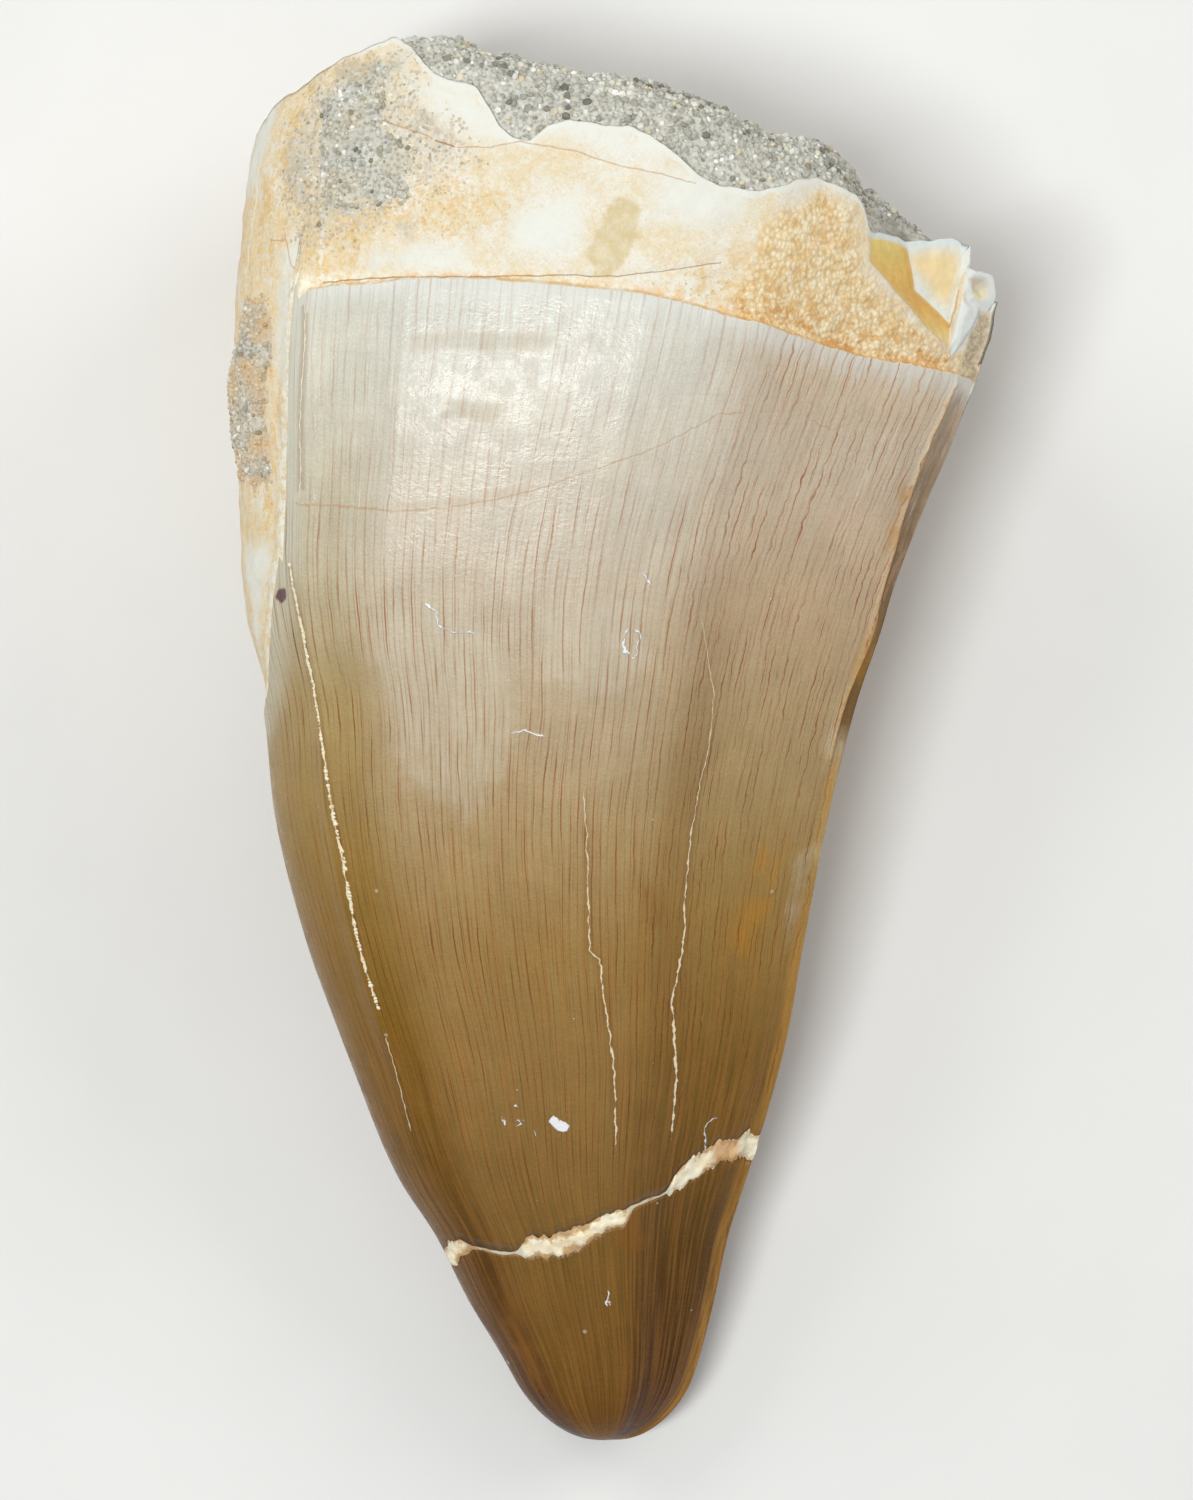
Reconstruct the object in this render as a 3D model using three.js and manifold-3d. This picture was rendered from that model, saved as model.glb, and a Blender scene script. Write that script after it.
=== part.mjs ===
// A fossil mosasaur tooth, lying on its hidden face: the crown with what is left of its root, the tip
// that broke off and was glued back, the pale filler in that break, and the cemented sand that fills
// the broken root and crusts it in two places. Millimetres, +Z up, the tip towards -Y.
// An angle goes round the tooth's section: 0 is its right edge (+X), 90 its top, 180 its left edge.
import * as THREE from "three";
import { mergeVertices } from "three/addons/utils/BufferGeometryUtils.js";
import Module from "manifold-3d";

const wasm = await Module();
wasm.setup();

// Driving dimensions
const TIP_Y = -29.68; // the end of the tip, below the middle of the photographed outline
const TIP_ROUNDING = 2.98; // how far up from its end the worn tip is rounded
const ENAMEL = 0.3; // the enamel's thickness, which is the ledge at its edge
const GAP = 0.3; // clearance between neighbouring pieces
const GLUE_GAP = 0.12; // clearance on each side of the filler in the break

// The section is widest at a share of its depth. Three of its quarters are those of a superellipse:
// the smaller an exponent, the fuller it is. The upper right quarter sinks to a shallow hollow
// before the keen right edge, so it has its own heights, from the middle of the section to its edge.
const WIDEST = 0.64;
const ACROSS = 0.91;
const FULLNESS = { aboveLeft: 0.91, belowLeft: 0.85, belowRight: 1.2 };
const UPPER_RIGHT = [
  [0, 1], [0.15, 0.985], [0.3, 0.92], [0.4, 0.835], [0.5, 0.695], [0.6, 0.55], [0.75, 0.36],
  [0.9, 0.165], [1, 0],
];

// The tooth along its length: its left and right edge, its top and its underside
const STATIONS = [
  { y: -29.7, left: -2.8, right: 2.25, top: 4.4, under: 0.0 },
  { y: -26.2, left: -4.5, right: 3.4, top: 5.8, under: 0.05 },
  { y: -23.6, left: -6.0, right: 4.05, top: 7.0, under: 0.2 },
  { y: -20.9, left: -7.3, right: 4.6, top: 8.35, under: 0.5 },
  { y: -18.4, left: -8.85, right: 5.35, top: 9.7, under: 0.7 },
  { y: -13.3, left: -10.85, right: 6.8, top: 12.45, under: 0.8 },
  { y: -8.3, left: -12.6, right: 7.7, top: 14.9, under: 0.65 },
  { y: -3.3, left: -13.8, right: 8.6, top: 17.1, under: 0.3 },
  { y: 1.7, left: -14.35, right: 9.8, top: 18.9, under: -0.05 },
  { y: 4.2, left: -15.0, right: 10.6, top: 19.65, under: -0.2 },
  { y: 6.6, left: -15.35, right: 11.35, top: 20.3, under: -0.3 },
  { y: 11.6, left: -15.5, right: 13.4, top: 21.3, under: -0.5 },
  { y: 16, left: -15.6, right: 15.35, top: 21.8, under: -0.5 },
  { y: 20, left: -15.4, right: 16.2, top: 21.8, under: -0.45 },
  { y: 24.3, left: -14.8, right: 16, top: 21.3, under: 0.3 },
  { y: 28, left: -13.6, right: 15.5, top: 20.6, under: 1.2 },
];

// Round the tooth, as angle and height: the broken rim of the root, the enamel's edge, the break
const RIM = [
  [0, 18.1], [6, 18.7], [12, 19.1], [17, 19.3], [22, 19.2], [25, 19.1], [28, 20.0], [32, 20.2],
  [36, 20.3], [45, 19.9], [53, 20.3], [55, 21.3], [58, 21.9], [61, 22.3], [66, 22.1], [75, 21.9],
  [80.5, 22.4], [84.5, 23.4], [88.5, 24.2], [93, 24.5], [100, 24.4], [103.5, 23.8], [107.5, 24.3],
  [112.5, 25.9], [120, 26.6], [126, 27.6], [130.5, 28.1], [135, 27.8], [140, 27.5], [144.5, 27.1],
  [149, 26.7], [154, 26.2], [160, 26.0], [170, 25.1], [180, 24.5], [190, 24.7], [200, 25.2],
  [220, 26.1], [245, 26.2], [270, 25.4], [290, 23.9], [305, 22.3], [320, 20.4], [335, 19.0],
  [350, 18.3],
];
const ENAMEL_EDGE = [
  [0, 14.5], [10, 14.7], [23, 14.9], [35, 15.1], [46, 15.3], [54, 15.6], [62, 16.0], [69, 16.5],
  [76, 16.9], [87, 17.6], [98, 18.0], [112, 18.3], [128, 18.1], [137, 18.0], [142, 17.6],
  [143.8, 16.8], [144.6, 9.6], [147, 7.3], [150, 5.7], [154, 4.1], [159, 2.9], [164, 2.0],
  [180, 1.0], [195, 2.2], [207, 6.5], [218, 11.0], [232, 14.5], [250, 15.8], [280, 15.6],
  [310, 15.0], [340, 14.6],
];
const BREAK = [
  [2, -16.35], [18, -16.45], [34, -16.7], [44, -17.2], [53, -17.9], [56.5, -18.7], [64, -19.05],
  [72.5, -19.45], [79, -19.65], [87.5, -20.1], [98.5, -20.55], [110, -20.8], [114.5, -21.25],
  [123, -21.3], [137, -21.1], [145, -20.9], [152, -20.9], [165, -21.3], [180, -21.5], [210, -21.0],
  [240, -20.1], [270, -19.1], [300, -17.9], [330, -16.9],
];

// Width of the break: it gapes where enamel chipped off along it, and is a mere crack between
const BREAK_WIDTH = [
  [2, 1.2], [18, 1.15], [30, 0.95], [42, 1.1], [53, 0.9], [56.5, 0.4], [64, 0.38], [70, 0.4],
  [73, 0.72], [80, 0.7], [88, 0.9], [100, 0.95], [110, 0.75], [114.5, 0.4], [123, 0.38],
  [137, 0.38], [145, 0.6], [155, 0.8], [165, 0.7], [180, 0.5], [210, 0.5], [240, 0.5], [270, 0.6],
  [300, 0.6], [330, 0.9],
];

// The edges of the faint prism faces, and the two cutting edges
const PRISM_ANGLES = [68, 86, 120, 139.5];
const PRISM_FLATNESS = 0.55;
const CUTTING_EDGES = [
  { angle: 0, height: 0.3, spread: 5 },
  { angle: 139.5, height: 0.2, spread: 4 },
];

// The sand that fills the root: its wall, its depth and its crest from left to right
const WALL_AT_RIM = 2;
const WALL_DEEP = 3.6;
const CAVITY_FLOOR = 15.2;
const LIP_DROP = 0.35;
const CREST = [
  [-14.5, 24.6], [-12.5, 26.0], [-11, 27.3], [-8.5, 28.1], [-6.6, 28.3], [-5, 27.7], [-3.3, 27.4],
  [-1.7, 26.95], [0, 26.7], [1.6, 26.3], [3.2, 25.95], [4.9, 25.3], [5.8, 24.8], [6.5, 24.5],
  [8.2, 24.5], [9, 24.15], [9.8, 23.2], [11.4, 22.5], [12.4, 22.3], [13.1, 22.0], [15, 21.0],
];

// The crusts of sand: the middle and reach of each, in angle and height, and how far it stands out
const ROOT_CRUST = { angle: 131, y: 23.6, reach: 11, tall: 3.3, out: 0.35, into: 0.7 };
const FLANK_CRUST = { angle: 176, y: 12.4, reach: 18, tall: 5.7, out: 0.42, into: 0.6 };

// The scar at the root's broken corner: its outline on the surface and its floor, which are corners
// given as angle, height and depth
const SCAR_EDGE = [
  [54, 21.0, 0], [53, 19.1, 0], [47.6, 17.95, 0], [29, 15.9, 0], [30, 17.4, 0.1], [32, 18.8, 0.1],
  [36.5, 21.0, 0.1],
];
const SCAR_FLOOR = [
  [46, 21.0, 0.6], [43.5, 18.3, 0.7], [34, 17.2, 0.7], [34, 18.8, 0.7], [38, 21.0, 0.6],
];

// Angles of the columns round the tooth, closer together where something changes fast
const COLUMNS = [
  0, 4, 8, 12, 17, 22, 25, 28, 32, 36, 42, 48, 53, 56.5, 60, 64, 68, 73, 80, 86, 93, 99, 105, 110,
  114.5, 120, 126, 131, 135, 139.5, 143.6, 145, 149, 154, 160, 167, 175, 185, 195, 206, 217, 228,
  239, 250, 260, 270, 280, 290, 301, 312, 323, 334, 345, 353,
];
const ROWS = { enamel: 19, root: 8, tip: 10, cavity: 3, cap: 8 };

// A smooth curve through points of [place, value]; one that goes round repeats after 360
function curve(points) {
  const cubic = new THREE.CubicInterpolant(points.map(([at]) => at), points.map(([, value]) => value), 1);
  return (at) => cubic.evaluate(at)[0];
}

function roundCurve(points) {
  const before = points.slice(-3).map(([at, value]) => [at - 360, value]);
  const after = points.slice(0, 3).map(([at, value]) => [at + 360, value]);
  return curve([...before, ...points, ...after]);
}

const along = Object.fromEntries(
  ["left", "right", "top", "under"].map((side) => [side, curve(STATIONS.map((s) => [s.y, s[side]]))]),
);
const rimAt = roundCurve(RIM);
const enamelEdgeAt = roundCurve(ENAMEL_EDGE);
const breakAt = roundCurve(BREAK);
const breakWidthAt = roundCurve(BREAK_WIDTH);
const upperRightAt = curve(UPPER_RIGHT);
const crestAt = curve(CREST);

// The section at a height, drawn in to an end over the rounding of the tip
function section(y) {
  const t = THREE.MathUtils.clamp((TIP_Y + TIP_ROUNDING - y) / TIP_ROUNDING, 0, 1);
  const roundness = 2.4;
  const shrink = (1 - t ** roundness) ** (1 / roundness);
  const [left, right, top, under] = [along.left(y), along.right(y), along.top(y), along.under(y)];
  const z = under + WIDEST * (top - under);
  return {
    x: (left + right) / 2,
    z,
    halfWidth: (shrink * (right - left)) / 2,
    up: shrink * (top - z),
    down: shrink * (z - under),
  };
}

// How much nearer the middle a flat prism face lies than the round section
function prismFactor(angle) {
  for (let i = 1; i < PRISM_ANGLES.length; i++) {
    const [from, to] = [PRISM_ANGLES[i - 1], PRISM_ANGLES[i]];
    if (angle < from || angle > to) continue;
    const half = THREE.MathUtils.degToRad((to - from) / 2);
    const off = THREE.MathUtils.degToRad(angle - (from + to) / 2);
    return 1 - PRISM_FLATNESS * (1 - Math.cos(half) / Math.cos(off));
  }
  return 1;
}

// Height of the cutting edges at an angle; they run out where the enamel ends
function edgeHeight(angle, y) {
  const fade = THREE.MathUtils.smoothstep(enamelEdgeAt(angle) - y, 0, 3);
  let height = 0;
  for (const edge of CUTTING_EDGES) {
    const off = ((angle - edge.angle + 540) % 360) - 180;
    height += edge.height * Math.exp(-((off / edge.spread) ** 2));
  }
  return height * fade;
}

// The height of the section's edge at an angle, as a share of its reach up or down
function sectionHeight(turn) {
  const [c, n] = [Math.cos(turn), Math.sin(turn)];
  if (n < 0) return -(Math.abs(n) ** (c < 0 ? FULLNESS.belowLeft : FULLNESS.belowRight));
  return c < 0 ? n ** FULLNESS.aboveLeft : upperRightAt(c ** ACROSS);
}

// A point of the tooth's surface at an angle and a height, moved out of it by some millimetres.
// The tooth has worn flat where it lies, so nothing reaches below the ground.
function surfacePoint(angle, y, out = 0) {
  const s = section(y);
  const turn = THREE.MathUtils.degToRad(angle);
  const [c, n] = [Math.cos(turn), Math.sin(turn)];
  const depth = n >= 0 ? s.up : s.down;
  const factor = prismFactor(angle);
  const away = new THREE.Vector2(c * depth, n * s.halfWidth).normalize();
  const reach = out + edgeHeight(angle, y);
  return new THREE.Vector3(
    s.x + factor * s.halfWidth * Math.sign(c) * Math.abs(c) ** ACROSS + reach * away.x,
    y,
    Math.max(0, s.z + factor * depth * sectionHeight(turn) + reach * away.y),
  );
}

// Uneven relief of broken faces and of sand, as a sum of waves
function relief(x, z, size, wave) {
  return (
    size *
    (0.5 * Math.sin((2.1 * x) / wave + (0.8 * z) / wave) +
      0.3 * Math.sin((4.3 * z) / wave - (1.3 * x) / wave + 1.7) +
      0.2 * Math.sin((6.1 * x) / wave + (5.2 * z) / wave + 0.4))
  );
}

// A closed mesh through rings of points, from one end point to the other
function closedSkin(start, rings, end) {
  const points = [start, ...rings.flat(), end];
  const count = rings[0].length;
  const at = (ring, i) => 1 + ring * count + (i % count);
  const faces = [];
  for (let i = 0; i < count; i++) {
    faces.push(0, at(0, i), at(0, i + 1));
    for (let ring = 0; ring + 1 < rings.length; ring++) {
      faces.push(at(ring, i), at(ring + 1, i), at(ring + 1, i + 1));
      faces.push(at(ring, i), at(ring + 1, i + 1), at(ring, i + 1));
    }
    faces.push(points.length - 1, at(rings.length - 1, i + 1), at(rings.length - 1, i));
  }
  const geometry = new THREE.BufferGeometry().setFromPoints(points);
  geometry.setIndex(faces);
  return geometry;
}

// The rings of one uneven face of the break, lowered by some millimetres at every angle, from the
// middle outwards
function breakFace(loweredAt) {
  const middle = { y: -19.6, lowered: loweredAt(270) };
  const s = section(middle.y);
  const rings = [0.4, 0.75, 1].map((share) =>
    COLUMNS.map((angle) => {
      const edge = surfacePoint(angle, breakAt(angle) - loweredAt(angle));
      const point = new THREE.Vector3(s.x, middle.y - middle.lowered, s.z).lerp(edge, share);
      point.y += relief(point.x, point.z, 0.35 * (1 - share), 3);
      return point;
    }),
  );
  return { pole: new THREE.Vector3(s.x, middle.y - middle.lowered, s.z), rings };
}

// A ring of the hollow in the root, at a share of its depth, with a clearance to its wall
function hollowRing(share, clearance) {
  return COLUMNS.map((angle) => {
    const rim = rimAt(angle) - LIP_DROP;
    const y = THREE.MathUtils.lerp(rim, CAVITY_FLOOR + clearance, share);
    const wall = THREE.MathUtils.lerp(WALL_DEEP, WALL_AT_RIM, Math.exp((y - rim) / 4));
    const s = section(y);
    const middle = new THREE.Vector3(s.x, y, s.z);
    const outside = surfacePoint(angle, y);
    return outside.lerp(middle, (wall + clearance) / outside.distanceTo(middle));
  });
}

function hollowFloor(clearance) {
  const s = section(CAVITY_FLOOR);
  return new THREE.Vector3(s.x, CAVITY_FLOOR - 0.5 + clearance, s.z);
}

// The crown and root: the lower face of the break, the enamel, the ledge at its edge, the root's
// outside, its rim and the hollow in it
function crownGeometry() {
  const face = breakFace(() => 0);
  const rings = [...face.rings];
  for (let row = 1; row <= ROWS.enamel; row++) {
    rings.push(
      COLUMNS.map((angle) => {
        const y = THREE.MathUtils.lerp(breakAt(angle), enamelEdgeAt(angle), row / ROWS.enamel);
        return surfacePoint(angle, y);
      }),
    );
  }
  for (let row = 0; row <= ROWS.root; row++) {
    const share = row / ROWS.root;
    rings.push(
      COLUMNS.map((angle) => {
        const y = THREE.MathUtils.lerp(enamelEdgeAt(angle) + 0.25, rimAt(angle), share);
        return surfacePoint(angle, y, -ENAMEL + relief(angle / 8, y, 0.14 * share, 2));
      }),
    );
  }
  for (let row = 0; row <= ROWS.cavity; row++) {
    rings.push(hollowRing(row / ROWS.cavity, 0));
  }
  return closedSkin(face.pole, rings, hollowFloor(0));
}

// The glued tip, from its end up to the upper face of the break
function tipGeometry() {
  const face = breakFace(breakWidthAt);
  const rings = [];
  for (let row = 1; row <= ROWS.tip; row++) {
    rings.push(
      COLUMNS.map((angle) => {
        const top = breakAt(angle) - breakWidthAt(angle);
        return surfacePoint(angle, THREE.MathUtils.lerp(TIP_Y, top, (row / ROWS.tip) ** 1.8));
      }),
    );
  }
  rings.push(...face.rings.slice(0, -1).reverse());
  const end = section(TIP_Y);
  return closedSkin(new THREE.Vector3(end.x, TIP_Y, end.z), rings, face.pole);
}

// The filler in the break: a thin uneven slice
function fillerGeometry() {
  const below = breakFace((angle) => breakWidthAt(angle) - GLUE_GAP);
  const above = breakFace(() => GLUE_GAP);
  return closedSkin(below.pole, [...below.rings, ...above.rings.reverse()], above.pole);
}

// The cemented sand in the root: the fill of its hollow, and its lumpy exposed top
function sandFillGeometry() {
  const rings = [];
  for (let row = ROWS.cavity; row > 0; row--) rings.push(hollowRing(row / ROWS.cavity, GAP));
  const border = hollowRing(0, GAP);
  const centre = { x: 0.4, z: 10.8 };
  const capPoint = (edge, angle, share) => {
    const x = THREE.MathUtils.lerp(centre.x, edge.x, share);
    const z = THREE.MathUtils.lerp(centre.z, edge.z, share);
    const y = THREE.MathUtils.lerp(crestAt(x), rimAt(angle) + 0.15, share ** 8);
    return new THREE.Vector3(x, y + relief(x, z, 0.35 * (1 - share ** 3), 1.6), z);
  };
  for (let row = 0; row < ROWS.cap; row++) {
    const share = 1 - (row / ROWS.cap) ** 1.2;
    rings.push(border.map((edge, i) => capPoint(edge, COLUMNS[i], share)));
  }
  const top = new THREE.Vector3(centre.x, crestAt(centre.x), centre.z);
  return closedSkin(hollowFloor(GAP), rings, top);
}

// A crust of sand that lies in the root's surface, domed outside. The block that cuts its bed is
// larger on every side by a clearance, and reaches further out.
function crustGeometry(crust, clearance = 0, further = 0) {
  const around = 20;
  const perDegree = 0.24; // millimetres of surface in a degree, near enough
  const reach = crust.reach + clearance / perDegree;
  const tall = crust.tall + clearance;
  const point = (turn, share, out) => {
    const ragged = 1 + 0.08 * Math.sin(5 * turn) + 0.05 * Math.sin(9 * turn + 1);
    const angle = crust.angle + reach * share * ragged * Math.cos(turn);
    return surfacePoint(angle, crust.y + tall * share * ragged * Math.sin(turn), out - ENAMEL);
  };
  const dome = (share) => crust.out * (1 - share ** 2) + clearance + further;
  const bed = -crust.into - clearance;
  const ring = (share, out) =>
    Array.from({ length: around }, (_, i) => point((2 * Math.PI * i) / around, share, out));
  const rings = [
    ring(0.3, bed), ring(0.6, bed), ring(0.85, bed), ring(1, bed / 2), ring(0.97, dome(0.97)),
    ring(0.75, dome(0.75)), ring(0.5, dome(0.5)), ring(0.25, dome(0.25)),
  ];
  return closedSkin(point(0, 0, bed), rings, point(0, 0, dome(0)));
}

// What is missing at the root's broken corner, as a block to cut away
function scarBlock() {
  const at = ([angle, y, depth]) => surfacePoint(angle, y, -ENAMEL - depth).toArray();
  const outside = SCAR_EDGE.map(([angle, y]) => [angle, y, -3]);
  return wasm.Manifold.hull([...SCAR_EDGE, ...SCAR_FLOOR, ...outside].map(at));
}

// A geometry as a solid that can be cut, and back
function solid(geometry) {
  const bare = geometry.clone();
  bare.deleteAttribute("normal");
  bare.deleteAttribute("uv");
  const merged = mergeVertices(bare, 1e-4);
  return new wasm.Manifold(
    new wasm.Mesh({
      numProp: 3,
      vertProperties: new Float32Array(merged.attributes.position.array),
      triVerts: new Uint32Array(merged.index.array),
    }),
  );
}

function geometryOf(cut) {
  const mesh = cut.getMesh();
  const geometry = new THREE.BufferGeometry();
  geometry.setAttribute("position", new THREE.BufferAttribute(mesh.vertProperties, 3));
  geometry.setIndex(new THREE.BufferAttribute(mesh.triVerts, 1));
  return geometry;
}

function named(name, geometry, color, roughness) {
  geometry.computeVertexNormals();
  const mesh = new THREE.Mesh(geometry, new THREE.MeshStandardMaterial({ color, roughness, metalness: 0 }));
  mesh.name = name;
  return mesh;
}

const crown = solid(crownGeometry())
  .subtract(solid(crustGeometry(ROOT_CRUST, GAP, 1)))
  .subtract(solid(crustGeometry(FLANK_CRUST, GAP, 1)))
  .subtract(scarBlock());

const pieces = [
  named("crown", geometryOf(crown), 0xb39a72, 0.35),
  named("tip", tipGeometry(), 0x7a5630, 0.35),
  named("repair_filler", fillerGeometry(), 0xe6d3ab, 0.7),
  named("sand_fill", sandFillGeometry(), 0x9c978a, 0.95),
  named("root_sand_crust", crustGeometry(ROOT_CRUST), 0xa39d8f, 0.95),
  named("flank_sand_crust", crustGeometry(FLANK_CRUST), 0xa3937a, 0.95),
];

// The origin lies under the middle of the whole tooth, on the ground
const tooth = new THREE.Group().add(...pieces);
const bounds = new THREE.Box3().setFromObject(tooth);
const middle = bounds.getCenter(new THREE.Vector3());
for (const piece of pieces) piece.geometry.translate(-middle.x, -middle.y, -bounds.min.z);

export default tooth;
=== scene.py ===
"""The looks of a fossil mosasaur tooth that lies on its hidden face.

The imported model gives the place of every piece. The tables hold millimetres and degrees, as the tooth
is measured, and every mesh is made in metres. An angle goes round the tooth's section: 0 is its right
edge (+X), 90 its top, 180 its left edge and 270 the face that it lies on. A height is measured along
the tooth, from the tip (about -30) to the broken root (about 28).
"""
import logging
import math
from collections.abc import Callable, Sequence
from dataclasses import dataclass, field
from enum import Enum
from functools import cached_property, reduce
from itertools import product

import bpy
import numpy as np
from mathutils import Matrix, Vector


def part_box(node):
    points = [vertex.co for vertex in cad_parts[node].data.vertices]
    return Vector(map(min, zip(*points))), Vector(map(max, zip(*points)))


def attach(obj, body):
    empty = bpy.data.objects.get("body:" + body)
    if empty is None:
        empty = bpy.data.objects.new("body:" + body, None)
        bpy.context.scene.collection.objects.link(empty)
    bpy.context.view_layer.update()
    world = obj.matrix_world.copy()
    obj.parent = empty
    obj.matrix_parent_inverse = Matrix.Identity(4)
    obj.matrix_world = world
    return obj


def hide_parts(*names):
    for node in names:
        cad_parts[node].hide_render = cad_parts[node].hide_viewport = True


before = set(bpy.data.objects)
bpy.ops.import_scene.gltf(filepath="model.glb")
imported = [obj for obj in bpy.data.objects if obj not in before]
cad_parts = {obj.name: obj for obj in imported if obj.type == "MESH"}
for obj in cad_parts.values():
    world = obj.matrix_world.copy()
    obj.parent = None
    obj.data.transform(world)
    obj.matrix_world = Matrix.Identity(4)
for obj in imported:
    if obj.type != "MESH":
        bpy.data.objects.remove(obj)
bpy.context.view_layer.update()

MM = 0.001
BODY = "root"

Table = tuple[tuple[float, float], ...]
Corner = tuple[float, float, float]
Tint = tuple[int, int, int]
Shades = tuple[tuple[float, Tint], ...]
Curve = Callable[[np.ndarray], np.ndarray]
Socket = bpy.types.NodeSocket
Material = bpy.types.Material
log = logging.getLogger("tooth")


def colour(red: int, green: int, blue: int) -> tuple[float, float, float, float]:
    """Turns a display colour, 0 to 255, into the linear colour that shaders use.

    Args:
        red, green, blue: the display colour's parts.

    Returns:
        The linear colour with an alpha of 1.
    """
    parts = np.array([red, green, blue]) / 255
    linear = np.where(parts <= 0.04045, parts / 12.92, ((parts + 0.055) / 1.055) ** 2.4)
    return (*linear.tolist(), 1.0)


def smooth_step(value: np.ndarray, low: float, high: float) -> np.ndarray:
    """Rises smoothly from 0 at low to 1 at high."""
    share = np.clip((value - low) / (high - low), 0, 1)
    return share * share * (3 - 2 * share)


def lerp(first: np.ndarray, second: np.ndarray, share: np.ndarray) -> np.ndarray:
    """Goes from first to second as share goes from 0 to 1."""
    return first + (second - first) * share


def turn_between(angle: np.ndarray, other: float) -> np.ndarray:
    """The angle from other to angle, in degrees from -180 to 180."""
    return (angle - other + 180) % 360 - 180


def through(table: Sequence[Sequence[float]]) -> Curve:
    """Makes a smooth curve through the rows of a table.

    Args:
        table: rows of a place and one or more values.

    Returns:
        A function of the place. It has the values as a last axis where there are several.
    """
    rows = np.array(table, float)
    knots, values = rows[:, 0], rows[:, 1:]
    secants = np.diff(values, axis=0) / np.diff(knots)[:, None]
    slopes = np.vstack([secants[:1], (secants[1:] + secants[:-1]) / 2, secants[-1:]])

    def curve(place: np.ndarray) -> np.ndarray:
        """Reads the curve, which stays level before its first place and after its last one."""
        inside = np.clip(np.asarray(place, float), knots[0], knots[-1])
        index = np.clip(np.searchsorted(knots, inside, side="right") - 1, 0, len(knots) - 2)
        width = knots[index + 1] - knots[index]
        t = ((inside - knots[index]) / width)[..., None]
        width = width[..., None]
        result = (
            (2 * t**3 - 3 * t**2 + 1) * values[index]
            + (t**3 - 2 * t**2 + t) * width * slopes[index]
            + (3 * t**2 - 2 * t**3) * values[index + 1]
            + (t**3 - t**2) * width * slopes[index + 1]
        )
        return result[..., 0] if values.shape[1] == 1 else result

    return curve


def round_through(table: Table) -> Curve:
    """Makes a smooth curve of the angle, which repeats after 360 degrees."""
    before = [(at - 360, value) for at, value in table[-3:]]
    after = [(at + 360, value) for at, value in table[:3]]
    curve = through([*before, *table, *after])
    return lambda angle: curve(np.mod(angle, 360))


def pad_rows(grid: np.ndarray, before: int, rows: int) -> np.ndarray:
    """Repeats a grid's first and last row, so that it covers the faces beside it too.

    Args:
        grid: values, row by row.
        before: how many rows come before it.
        rows: how many rows there are in all.

    Returns:
        The values of all rows.
    """
    after = rows - before - len(grid)
    return np.vstack([np.repeat(grid[:1], before, 0), grid, np.repeat(grid[-1:], after, 0)])


class Noise:
    """Smooth seeded noise in space, from about -1 to 1."""

    CELLS = 256

    def __init__(self, seed: int) -> None:
        """Draws the slopes at the corners of the cells.

        Args:
            seed: the start of the random draws.
        """
        random = np.random.default_rng(seed)
        self.order = random.permutation(self.CELLS)
        slopes = random.normal(size=(self.CELLS, 3))
        self.slopes = slopes / np.linalg.norm(slopes, axis=1, keepdims=True)

    def __call__(self, points: np.ndarray, size: float) -> np.ndarray:
        """Reads the noise.

        Args:
            points: places, with x, y and z as the last axis.
            size: the size of its lumps, in the unit of the places.

        Returns:
            A value for each place.
        """
        scaled = points / size
        cell = np.floor(scaled).astype(int)
        part = scaled - cell
        fade = part**3 * (part * (part * 6 - 15) + 10)
        total = np.zeros(points.shape[:-1])
        for corner in product((0, 1), repeat=3):
            x, y, z = np.moveaxis(cell + corner, -1, 0)
            column = self.order[(y + self.order[z % self.CELLS]) % self.CELLS]
            mixed = self.order[(x + column) % self.CELLS]
            weight = np.prod(np.where(np.array(corner) == 1, fade, 1 - fade), axis=-1)
            total += weight * np.sum(self.slopes[mixed] * (part - corner), axis=-1)
        return 1.6 * total


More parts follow.
